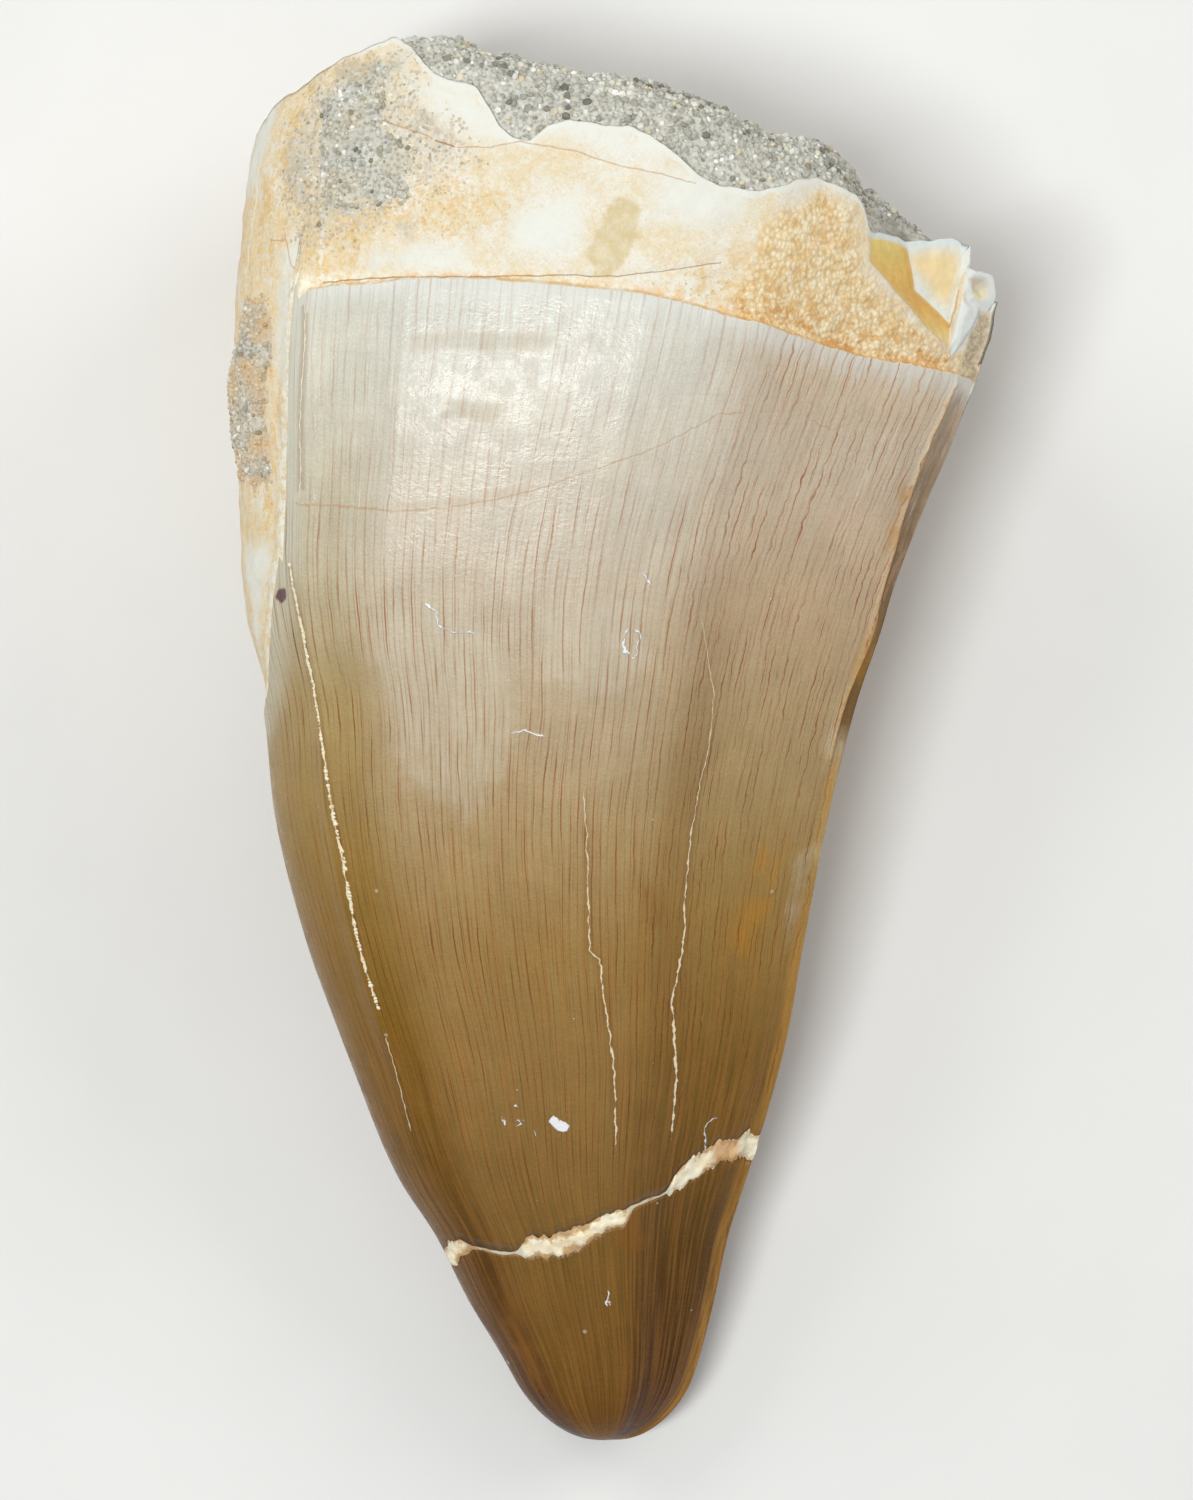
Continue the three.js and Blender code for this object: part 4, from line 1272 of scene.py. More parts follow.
    def _gloss(self, coat: Coat, lines: Socket, cracks: Socket, white: Socket) -> tuple[Socket, Socket]:
        """Makes the roughness and the fine relief: grooves along the lines, crazing and cracks.

        Args:
            coat: the material's coat.
            lines: the mask of the fine lines.
            cracks: the mask of the cracks.
            white: the mask of what is white and dull.

        Returns:
            The roughness and the normal.
        """
        patchy = coat.noise(0.9, 4, 0.7)
        uneven = coat.step(patchy, 0.4, 0.62, (self.roughness - 0.04, self.roughness + 0.11))
        dull = coat.math("MAXIMUM", coat.math("MAXIMUM", cracks, white), coat.area("dull", 0.2, 0.5))
        rough = coat.math("MULTIPLY_ADD", dull, 0.35, uneven, clamp=True)
        grooved = coat.bump(coat.math("SUBTRACT", 1.0, lines), 0.004, 0.5)
        squashed = coat.vector("MULTIPLY", coat.point, (1.0, 1.3, 1.0))
        crazed = coat.bump(coat.noise(0.24, 2, 0.6, squashed), 0.02, 0.9, grooved)
        crumbs = coat.bump(coat.noise(0.12, 2, 0.6), 0.008, 0.8, crazed)
        waves = coat.bump(coat.noise(2.0, 2), 0.03, 0.5, crumbs)
        raised = coat.bump(white, 0.05, 0.8, waves)
        return rough, coat.bump(cracks, -0.02, 0.6, raised)


@dataclass(frozen=True)
class DentineFinish:
    """The bare root and flank: cream to white, with ochre stains and a granular orange zone."""

    effects: Effects
    name: str = "bare_dentine"
    cream: Tint = (222, 208, 176)
    pale: Tint = (226, 221, 206)
    white: Tint = (224, 224, 214)
    ochre: Tint = (220, 186, 124)
    tan: Tint = (240, 219, 174)
    # Height along the tooth and colour of the broken slope
    slope: Shades = (
        (16.6, (220, 202, 152)), (17.4, (228, 192, 114)), (18.3, (222, 174, 88)), (19.3, (224, 180, 92)),
        (20.9, (224, 200, 118)),
    )

    def build(self) -> Material:
        """Makes the material."""
        coat = Coat(self.name, self.effects)
        grain = coat.cells(0.21)
        self._body(coat)
        self._patches(coat)
        self._grit(coat)
        granular = self._orange(coat, grain)
        self._scar(coat)
        dark = self._lines(coat)
        rough = coat.step(coat.value("amber"), -0.05, 0.1, (0.72, 0.42))
        fine = coat.bump(coat.noise(0.13, 4, 0.8), 0.05, 0.6)
        lumps = coat.product(coat.math("SUBTRACT", 1.0, grain.outputs["Distance"]), granular)
        grained = coat.bump(lumps, 0.09, 0.75, fine)
        return coat.dress(rough, coat.bump(dark, -0.04, 0.6, grained))

    def _body(self, coat: Coat) -> None:
        """Lays cream with paler clouds and fine ochre mottling, tan on the flank, and pores."""
        clouds = coat.step(coat.noise(2.2, 5, 0.65), 0.4, 0.6)
        coat.base = coat.mix(clouds, colour(*self.pale), colour(*self.cream))
        tans = coat.mix(coat.noise(1.1, 4, 0.7), colour(*self.tan), colour(*self.ochre))
        flank = coat.step(coat.noise(0.5, 5, 0.8), 0.4, 0.6, (0.2, 0.95))
        coat.lay(tans, coat.value("left_side"), flank)
        drawn = coat.vector("MULTIPLY", coat.point, (1.0, 0.22, 1.0))
        streaks = coat.step(coat.noise(0.4, 4, 0.7, drawn), 0.5, 0.62, (0, 0.6))
        coat.lay((222, 178, 104), streaks, coat.value("left_side"))
        warm = coat.math("MULTIPLY_ADD", coat.area("ochre", 0.9, 2.4), 0.55, 0.25)
        coat.lay(self.ochre, warm, coat.step(coat.noise(0.5, 6, 0.85), 0.45, 0.55))
        coat.lay(self.white, coat.step(coat.noise(0.3, 5, 0.85), 0.5, 0.58, (0, 0.5)))
        coat.lay((206, 164, 104), coat.step(coat.noise(0.16, 3, 0.7), 0.56, 0.66), warm)
        coat.lay((190, 146, 88), coat.specks(0.4, 0.06, 0.5), warm)
        coat.shade(coat.step(coat.noise(0.12, 3, 0.8), 0.3, 0.7, (0.93, 1.05)))

    def _patches(self, coat: Coat) -> None:
        """Lays white where it is freshly broken, cream strips, the tan stain and grey sand dust."""
        broken = coat.step(coat.noise(0.35, 4, 0.75), 0.3, 0.6, (0.55, 0.95))
        coat.lay(self.white, coat.area("white", 0.55, 1.9), broken)
        beside = coat.step(coat.value("from_edge"), 0.75, 0.35)
        chalky = coat.step(coat.noise(0.3, 4, 0.75), 0.42, 0.56, (0.15, 0.9))
        beside = coat.product(beside, coat.value("left_side"), chalky)
        coat.lay((236, 233, 216), beside)
        chipped = coat.math("MULTIPLY_ADD", coat.noise(0.6, 3), 0.5, coat.value("from_rim"))
        coat.lay(self.white, coat.step(chipped, -0.1, 0.1, (0, 0.85)), coat.value("front"))
        coat.lay((232, 226, 208), coat.trace("strip", 0.8, 0.5), 0.75)
        mottle = coat.step(coat.noise(0.5, 4, 0.7), 0.3, 0.7, (0.35, 0.95))
        coat.lay((205, 186, 140), coat.area("stain", 0.14, 0.8), mottle)
        dusty = coat.area("grey", 0.3, 1.4)
        sandy = coat.step(coat.noise(0.2, 4, 0.8), 0.4, 0.56, (0.3, 0.95))
        coat.lay((180, 174, 156), dusty, sandy)
        specks = coat.specks(0.7, 0.07, 0.3)
        coat.lay((104, 92, 78), specks, coat.math("MAXIMUM", beside, dusty), 0.85)

    def _grit(self, coat: Coat) -> None:
        """Sprinkles single grains of sand round the crust, fewer and more ochre farther from it."""
        zone = coat.area("gritty", 1.0, 2.6)
        grain = coat.cells(0.13)
        tones = coat.node("ShaderNodeSeparateColor")
        coat.feed(tones.inputs[0], grain.outputs["Color"])
        dust = coat.step(coat.noise(0.4, 5, 0.8), 0.42, 0.58, (0.1, 0.6))
        coat.lay((196, 180, 148), zone, dust)
        kept = coat.math("LESS_THAN", tones.outputs[1], coat.product(zone, 0.85))
        single = coat.step(grain.outputs["Distance"], 0.85, 0.5)
        ochre = coat.step(zone, 1.0, 0.3, (0.1, 0.6))
        coat.lay(coat.paint(coat.sand(tones.outputs[0]), (184, 150, 106), ochre), kept, single, 0.7)

    def _orange(self, coat: Coat, grain: bpy.types.Node) -> Socket:
        """Draws the granular orange zone and the rusty line at the enamel's edge.

        Args:
            coat: the material's coat.
            grain: the cells of the grains.

        Returns:
            The mask of the granular zone.
        """
        zone = coat.area("orange", 0.6, 1.6)
        shades = coat.step(coat.noise(0.6, 5, 0.75), 0.38, 0.62)
        grains = coat.mix(shades, colour(242, 226, 190), colour(226, 192, 130))
        between = coat.step(grain.outputs["Distance"], 0.35, 0.8, (0, 0.55))
        grains = coat.paint(grains, (204, 158, 92), between)
        deep = coat.step(coat.value("from_edge"), 1.9, 0.2, (0, 0.85))
        cloudy = coat.step(coat.noise(0.6, 4, 0.75), 0.48, 0.62)
        grains = coat.paint(grains, (204, 142, 62), deep, cloudy)
        coat.lay(grains, zone, 0.92)
        edge = coat.step(coat.value("from_edge"), 0.45, 0.05)
        uneven = coat.step(coat.noise(0.55, 4, 0.75), 0.42, 0.56)
        coat.lay((218, 170, 102), edge, uneven, coat.value("front"), 0.65)
        return zone

    def _scar(self, coat: Coat) -> None:
        """Paints shade past the worn ridge and draws the broken corner: the amber slope, the cream plate
        and the white lobes.
        """
        height = coat.part(coat.point, "Y")
        # Painted shade: the root's strip past the worn ridge darkens, as it turns away from the light
        outer = coat.step(coat.noise(0.22, 4, 0.8), 0.4, 0.6)
        outer = coat.mix(outer, colour(200, 182, 150), colour(160, 142, 114))
        coat.lay(outer, coat.value("ridge_shade"), 0.9)
        yellow = coat.step(height, 19.5, 18.4)
        cup = coat.mix(yellow, colour(204, 194, 176), colour(222, 212, 170))
        cup = coat.mix(coat.area("cup", 0.16, 0.3), colour(218, 220, 214), cup)
        coat.lay(cup, coat.area("lobes", 0.08, 0.35))
        cloudy = coat.step(coat.noise(0.4, 5, 0.7), 0.3, 0.7, (0.9, 1.06))
        slope = coat.mix(1.0, coat.gradient(height, self.slope), cloudy, "MULTIPLY")
        deep = coat.step(coat.value("plate"), -0.4, 0.0, (0, 0.7))
        slope = coat.paint(slope, (210, 154, 54), deep)
        border = coat.step(coat.value("amber"), 0.02, 0.2, (0.3, 0))
        slope = coat.paint(slope, (226, 208, 160), border)
        coat.lay(slope, coat.step(coat.value("amber"), -0.015, 0.025))
        middle = coat.step(coat.value("core"), -0.35, 0.5)
        face = coat.mix(middle, colour(218, 221, 213), colour(232, 208, 156))
        face = coat.mix(1.0, face, coat.step(cloudy, 0.9, 1.06, (0.97, 1.02)), "MULTIPLY")
        coat.lay(face, coat.step(coat.value("plate"), -0.015, 0.025))
        coat.lay((190, 138, 82), coat.trace("seam", 1.0, 0.1), 0.7)
        broken = coat.step(coat.math("MAXIMUM", coat.value("amber"), coat.value("plate")), -0.1, 0.05)
        coat.lay((212, 218, 214), coat.step(coat.value("from_rim"), -0.35, -0.15), broken)

    def _lines(self, coat: Coat) -> Socket:
        """Draws the rust lines and the dark hairlines.

        Args:
            coat: the material's coat.

        Returns:
            The hairlines' mask.
        """
        coat.lay((184, 132, 76), coat.trace("rust", 1.0, 0.15), 0.65)
        dark = coat.trace("dark", 1.5, 0.14)
        coat.lay((156, 106, 56), dark, 0.8)
        coat.lay((92, 60, 66), coat.area("violet", 0.06, 0.4), 0.9)
        return dark


@dataclass(frozen=True)
class PasteFinish:
    """The pale paste of the repair: cream in the middle, orange and grey where it is thin."""

    effects: Effects
    name: str = "repair_paste"

    def build(self) -> Material:
        """Makes the material."""
        coat = Coat(self.name, self.effects)
        clouds = coat.step(coat.noise(0.7, 4, 0.6), 0.38, 0.65)
        coat.base = coat.mix(clouds, colour(244, 234, 206), colour(240, 220, 178))
        off_middle = coat.math("ABSOLUTE", coat.math("SUBTRACT", coat.value("across"), 0.5))
        ragged = coat.math("MULTIPLY_ADD", coat.noise(0.7, 4, 0.7), 1.3, -0.65)
        coat.lay((186, 146, 96), coat.step(coat.math("ADD", off_middle, ragged), 0.2, 0.42, (0, 0.9)))
        right = coat.part(coat.point, "X")
        gap = coat.product(coat.step(right, 4.0, 4.4), coat.step(right, 5.5, 5.1))
        coat.lay((196, 140, 74), gap, 0.7)
        coat.lay((206, 200, 178), coat.step(right, 5.2, 5.6), clouds)
        coat.lay((160, 116, 70), coat.specks(0.4, 0.05, 0.2), 0.5)
        thin = coat.step(coat.value("gape"), 0.66, 0.42, (0, 0.85))
        patchy = coat.step(coat.noise(0.6, 3), 0.4, 0.6)
        coat.lay(coat.mix(patchy, colour(176, 134, 84), colour(206, 196, 174)), thin)
        rough = coat.step(clouds, 0.0, 1.0, (0.5, 0.75))
        return coat.dress(rough, coat.bump(coat.noise(0.2, 4, 0.7), 0.05, 0.6))


@dataclass(frozen=True)
class WornEdgeFinish:
    """The chipped cutting edge: chalky cream with tan pits."""

    name: str = "worn_edge"

    def build(self) -> Material:
        """Makes the material."""
        coat = Coat(self.name)
        pits = coat.step(coat.noise(0.4, 4, 0.7), 0.46, 0.66)
        coat.base = coat.mix(pits, colour(236, 228, 200), colour(196, 164, 112))
        rough = coat.step(coat.noise(0.3, 2), 0.3, 0.7, (0.5, 0.8))
        return coat.dress(rough, coat.bump(coat.noise(0.08, 3, 0.7), 0.03, 0.6))


class SandTint(Enum):
    """What stains the sand: nothing, the cream of the root, or the ochre of the flank."""

    GREY = ("grey_sand", (200, 186, 156), 0.1)
    CREAM = ("cream_sand", (216, 190, 140), 0.16)
    OCHRE = ("ochre_sand", (212, 178, 128), 0.5)


@dataclass(frozen=True)
class SandFinish:
    """Cemented sand: single grains of many tones in a darker dust."""

    effects: Effects
    tint: SandTint

    def _build(self, name: str, grains: bool) -> Material:
        """Makes the material of the grains or of the dust between them.

        Args:
            name: the material's name.
            grains: whether each grain has its own tone.

        Returns:
            The material.
        """
        coat = Coat(name, self.effects)
        if grains:
            tone = coat.value(GrainCover.TONE)
        else:
            tone = coat.step(coat.cells(0.2).outputs["Distance"], 0.1, 0.9, (0.05, 0.6))
        coat.base = coat.sand(tone)
        _, stain, share = self.tint.value
        uneven = coat.step(coat.noise(1.3, 3), 0.35, 0.7, (0.3 * share, 1.5 * share))
        thin = coat.step(coat.value(GrainCover.COVER), 0.7, 0.1, (0.0, 1.2 * share))
        uneven = coat.math("ADD", uneven, thin, clamp=True)
        coat.lay(stain, uneven)
        far_right = coat.step(coat.part(coat.point, "X"), 9.5, 13.0)
        clumps = coat.step(coat.noise(1.1, 3, 0.6), 0.44, 0.56, (0.15, 0.75))
        coat.lay((96, 88, 78), far_right, clumps)
        rough = coat.step(coat.noise(0.3, 2), 0.3, 0.7, (0.5, 0.9))
        return coat.dress(rough, coat.bump(coat.noise(0.09, 3, 0.7), 0.04, 0.6))

    def build(self) -> tuple[Material, Material]:
        """Makes the materials of the dust and of the grains."""
        name = self.tint.value[0]
        return self._build(f"{name}_dust", False), self._build(f"{name}_grains", True)


@dataclass(frozen=True)
class FloorFinish:
    """A plain pale floor."""

    name: str = "pale_floor"

    def build(self) -> Material:
        """Makes the material."""
        coat = Coat(self.name)
        cloud = coat.step(coat.noise(30.0, 3), 0.3, 0.7, (0.97, 1.02))
        coat.base = coat.mix(1.0, colour(226, 224, 220), cloud, "MULTIPLY")
        return coat.dress(coat.step(coat.noise(4.0, 3), 0.3, 0.7, (0.7, 0.85)))


class GeometryGraph(Graph):
    """Geometry Nodes that put small grains on a mesh: their spacing, radius and material are inputs."""

    INPUTS = {
        "Geometry": "NodeSocketGeometry", "Spacing": "NodeSocketFloat", "Radius": "NodeSocketFloat",
        "Seed": "NodeSocketInt", "Material": "NodeSocketMaterial",
    }

    def __init__(self, name: str) -> None:
        """Makes the tree and its sockets.

        Args:
            name: the tree's name.
        """
        tree = bpy.data.node_groups.new(name, "GeometryNodeTree")
        for label, kind in self.INPUTS.items():
            tree.interface.new_socket(label, in_out="INPUT", socket_type=kind)
        tree.interface.new_socket("Geometry", in_out="OUTPUT", socket_type="NodeSocketGeometry")
        super().__init__(tree)
        self.source = self.node("NodeGroupInput")
        self.out = self.node("NodeGroupOutput")

    def given(self, label: str) -> Socket:
        """One of the tree's inputs."""
        return self.source.outputs[label]

    def random(self, low: object, high: object, seed: object, vector: bool = False) -> Socket:
        """Adds a Random Value node."""
        kind = "FLOAT_VECTOR" if vector else "FLOAT"
        made = self.node("FunctionNodeRandomValue", data_type=kind)
        shown = [socket for socket in made.inputs if socket.enabled]
        self.feed(shown[0], low)
        self.feed(shown[1], high)
        self.feed(made.inputs["Seed"], seed)
        return next(socket for socket in made.outputs if socket.enabled)

    def scatter(self, points: object, sizes: tuple[float, float], detail: int, flat: float) -> Socket:
        """Puts a small angular grain on every point, each turned and sized at random.

        Args:
            points: the points.
            sizes: the smallest and largest radius of a grain, as shares of the given radius.
            detail: how finely a grain is divided.
            flat: the smallest share that a grain keeps of its radius along an axis.

        Returns:
            The grains as instances.
        """
        seed = self.given("Seed")
        radius = self.product(self.given("Radius"), self.random(*sizes, seed))
        grain = self.fill(self.node("GeometryNodeMeshIcoSphere"), Radius=1.0, Subdivisions=detail)
        placed = self.node("GeometryNodeInstanceOnPoints")
        turn = self.random((0, 0, 0), (math.tau, math.tau, math.tau), seed, True)
        uneven = self.random((flat, flat, flat), (1.3, 1.3, 1.3), self.math("ADD", seed, 1), True)
        scale = self.node("ShaderNodeVectorMath", operation="SCALE")
        self.feed(scale.inputs[0], uneven)
        self.feed(scale.inputs["Scale"], radius)
        self.fill(placed, Points=points, Instance=grain.outputs["Mesh"], Rotation=turn)
        self.feed(placed.inputs["Scale"], scale.outputs["Vector"])
        return placed.outputs["Instances"]

    def realize(self, grains: object) -> Socket:
        """Makes instances a real mesh of the given material."""
        whole = self.fill(self.node("GeometryNodeRealizeInstances"), Geometry=grains)
        dressed = self.node("GeometryNodeSetMaterial")
        self.fill(dressed, Geometry=whole.outputs["Geometry"], Material=self.given("Material"))
        return dressed.outputs["Geometry"]

    def run(
        self, target: bpy.types.Object, spacing: float, radius: float, seed: int, material: Material
    ) -> None:
        """Runs the tree on an object and keeps the result as a plain mesh.

        Args:
            target: the object.
            spacing: how far apart the grains lie, in millimetres.
            radius: their middle radius, in millimetres.
            seed: the start of the random draws.
            material: their material.
        """
        modifier = target.modifiers.new(self.tree.name, "NODES")
        modifier.node_group = self.tree
        given = {"Spacing": spacing * MM, "Radius": radius * MM, "Seed": seed, "Material": material}
        for item in self.tree.interface.items_tree:
            if item.name in given:
                modifier[item.identifier] = given[item.name]
        graph = bpy.context.evaluated_depsgraph_get()
        graph.update()
        made = bpy.data.meshes.new_from_object(target.evaluated_get(graph), depsgraph=graph)
        old = target.data
        target.modifiers.clear()
        target.data = made
        bpy.data.meshes.remove(old)
        made.name = target.name


class GrainCover(GeometryGraph):
    """Covers a surface with grains of sand, as densely as its own values say."""

    COVER = "grain_cover"
    TONE = "grain_tone"

    def __init__(self) -> None:
        """Builds the tree."""
        super().__init__("sand_grains")
        surface = self.given("Geometry")
        cover = self.node("GeometryNodeInputNamedAttribute", data_type="FLOAT")
        self.fill(cover, Name=self.COVER)
        spread = self.node("GeometryNodeDistributePointsOnFaces", distribute_method="POISSON")
        closest = self.math("POWER", self.given("Spacing"), 2.0)
        self.fill(
            spread, Mesh=surface, Distance_Min=self.given("Spacing"), Seed=self.given("Seed"),
            Density_Max=self.math("DIVIDE", 1.6, closest), Density_Factor=cover.outputs["Attribute"],
        )
        grains = self.scatter(spread.outputs["Points"], (0.45, 1.6), 1, 0.6)
        tone = self.node("GeometryNodeStoreNamedAttribute", data_type="FLOAT", domain="INSTANCE")
        self.fill(tone, Geometry=grains, Name=self.TONE, Value=self.random(0.0, 1.0, 5))
        joined = self.node("GeometryNodeJoinGeometry")
        self.feed(joined.inputs[0], self.realize(tone.outputs["Geometry"]))
        self.feed(joined.inputs[0], surface)
        self.feed(self.out.inputs[0], joined.outputs[0])


class EdgeBeads(GeometryGraph):
    """Strings small beads along a line, as the fine saw teeth of a cutting edge."""

    def __init__(self) -> None:
        """Builds the tree."""
        super().__init__("edge_beads")
        line = self.fill(self.node("GeometryNodeMeshToCurve"), Mesh=self.given("Geometry"))
        even = self.node("GeometryNodeResampleCurve", mode="LENGTH")
        self.fill(even, Curve=line.outputs["Curve"], Length=self.given("Spacing"))
        beads = self.realize(self.scatter(even.outputs["Curve"], (0.35, 1.3), 2, 0.8))
        rounded = self.fill(self.node("GeometryNodeSetShadeSmooth"), Geometry=beads)
        self.feed(self.out.inputs[0], rounded.outputs[0])


@dataclass
class Workshop:
    """What every sub-assembly needs: the form, the marks, the columns, noise and the place in the frame."""

    form: ToothForm
    marks: Marks
    scar: Scar
    relief: Noise = field(default_factory=lambda: Noise(11))

    # Angles where columns start, and how far apart they are from there on
    COLUMN_STEPS = (
        (-90, 1.7), (0, 0.5), (20, 0.42), (62, 0.62), (140, 0.25), (146, 0.8), (180, 1.8), (270, None),
    )
    SPACING_HEIGHT = 8
    # Angles over which one side of the tooth passes into the next
    MIDDLE_FROM = (60, 80)
    LEFT_FROM = (116, 134)
    FRONT_TO = (137, 143)
    BACK_FROM = (240, 290)
    # Angle and width of the shallow valley in the enamel
    VALLEY = (63, 5)
    # Where the rings of the break's faces lie, as shares of the way from its middle
    FACE_SHARES = (0.35, 0.65, 0.88, 0.97, 1.0)

    @cached_property
    def columns(self) -> np.ndarray:
        """The angles of the columns, closer where something changes fast."""
        parts = []
        for (start, step), (stop, _) in zip(self.COLUMN_STEPS, self.COLUMN_STEPS[1:]):
            count = round((stop - start) / step)
            parts.append(np.linspace(start, stop, count, endpoint=False))
        return np.concatenate(parts)

    @cached_property
    def round_mm(self) -> np.ndarray:
        """The way round the tooth up to each column, in millimetres at a usual section."""
        closed = np.append(self.columns, self.columns[0] + 360)
        points = self.form.surface(closed, self.SPACING_HEIGHT)
        steps = np.linalg.norm(np.diff(points, axis=0), axis=-1)
        return np.concatenate([[0], np.cumsum(steps)])

    @cached_property
    def offset(self) -> np.ndarray:
        """What moves the tooth's own millimetres into the frame's, from where the tip lies."""
        low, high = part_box("tip")
        corner = self.form.surface(0.0, self.form.break_top(0.0) - self.form.break_width(0.0))
        return np.array([high[0] / MM - corner[0], low[1] / MM - self.form.tip_y, 0.0])

    def wave(self, size: float, salt: float) -> np.ndarray:
        """A random wave round the tooth, one value for each column, that closes on itself.

        Args:
            size: the length of its waves in millimetres.
            salt: what makes it differ from other waves.

        Returns:
            Values from about -1 to 1.
        """
        radius = self.round_mm[-1] / math.tau
        turn = self.round_mm[:-1] / radius
        circle = np.stack([radius * np.cos(turn), radius * np.sin(turn), np.full_like(turn, salt)], -1)
        return self.relief(circle, size)

    @cached_property
    def upper_lip(self) -> np.ndarray:
        """The break's upper lip at each column, with its chips."""
        angle = self.columns
        gape = self.form.break_width(angle)
        chips = 0.22 * self.wave(0.7, 3.3) + 0.1 * self.wave(0.25, 7.1)
        return self.form.break_top(angle) + gape**2 * chips

    @cached_property
    def lower_lip(self) -> np.ndarray:
        """The break's lower lip at each column, with its chips."""
        angle = self.columns
        gape = self.form.break_width(angle)
        chips = 0.2 * self.wave(0.8, 13.3) + 0.1 * self.wave(0.22, 17.1)
        thin = 0.24 * smooth_step(gape, 0.55, 0.35)
        return self.form.break_top(angle) - gape + thin + gape**2 * chips

    def chart(self, rows: np.ndarray) -> Chart:
        """Makes the chart of a grid whose heights are given row by row."""
        angle = np.broadcast_to(self.columns, rows.shape)
        step = 0.5
        span = self.form.surface(angle + step, rows) - self.form.surface(angle - step, rows)
        return Chart(np.mod(angle, 360), rows, np.linalg.norm(span, axis=-1) / (2 * step))

    def break_face(self, lip: np.ndarray, lowered: float) -> tuple[np.ndarray, list[np.ndarray]]:
        """Makes one uneven face of the break.

        Args:
            lip: its height at each column.
            lowered: how far its middle lies below the upper lip's.

        Returns:
            Its middle point, and its rings from the middle outwards.
        """
        middle = self.form.middle(np.array(self.form.break_middle))
        middle[1] -= lowered
        edge = self.form.surface(self.columns, lip)
        rings = []
        for share in self.FACE_SHARES:
            ring = lerp(middle, edge, share)
            ring[:, 1] += 0.3 * (1 - share) * self.relief(ring, 1.5)
            rings.append(ring)
        return middle, rings

    def mark_values(self, chart: Chart) -> dict[str, np.ndarray]:
        """Measures a grid against the tooth's sides and the marks that the crown and the tip share."""
        marks = self.marks
        zones = {
            "gold": marks.gold, "brown": marks.brown, "pale": marks.pale, "dull": marks.dull,
            "chip": marks.chip, "violet": marks.violet,
        }
        lines = {"cream": marks.cream_lines, "rust": marks.rust_lines, "scuff": marks.scuffs}
        return self._sides(chart) | chart.measure(zones, lines)

    def _sides(self, chart: Chart) -> dict[str, np.ndarray]:
        """Measures a grid against the sides of the tooth, the worn ridge on its right and the painted shade
        past it.
        """
        angle, y = chart.angle, chart.y
        left = smooth_step(angle, *self.LEFT_FROM) * (1 - smooth_step(angle, *self.BACK_FROM))
        centre = smooth_step(angle, *self.MIDDLE_FROM) * (1 - smooth_step(angle, *self.LEFT_FROM))
        at, width = self.VALLEY
        valley = np.exp(-(((angle - at) / width) ** 2)) * smooth_step(y, 9, 1) * smooth_step(y, -22, -12)
        off_edge = np.abs(turn_between(angle, 0)) * chart.degree
        golden = smooth_step(off_edge, 0.75, 0.1) * smooth_step(y, -5, -9)
        # The strip past the worn ridge, which turns away from the light and gets painted shade
        past = turn_between(self.marks.ridge_angle(y), angle)
        ridge_shade = smooth_step(past, 0, 3) * (1 - smooth_step(past, 15, 27)) * smooth_step(y, -1.5, 1.0)
        ridge_shade = ridge_shade * smooth_step(y, 17.7, 17.1)
        low, high = self.marks.ridge_reach
        lasting = smooth_step(y, low - 0.6, low + 0.6) * smooth_step(y, high + 0.6, high - 0.6)
        return {
            "left_side": left, "right_side": np.clip(1 - left - centre, 0, 1), "valley": 0.3 * valley,
            "golden": 0.7 * golden, "front": 1 - smooth_step(angle, *self.FRONT_TO), "ridge_shade": ridge_shade,
            "ridge_line": past * chart.degree,
            "ridge_width": np.where(lasting > 0.05, 0.06 * lasting, -0.1),
        }

    @cached_property
    def rim_height(self) -> np.ndarray:
        """The height of the root's broken rim at each column, with its notches."""
        return self.form.rim(self.columns) + 0.12 * self.wave(1.3, 31.0) + 0.1 * self.wave(0.45, 33.0)

    @cached_property
    def rim_ring(self) -> np.ndarray:
        """The outer border of the root's broken rim, as points."""
        ring = self.form.surface(self.columns, self.rim_height, -self.form.enamel)
        dropped = self.chart(self.rim_height[None]).drop(self.scar.facets)[0]
        ring[:, 2] = np.maximum(0, ring[:, 2] - dropped)
        return ring


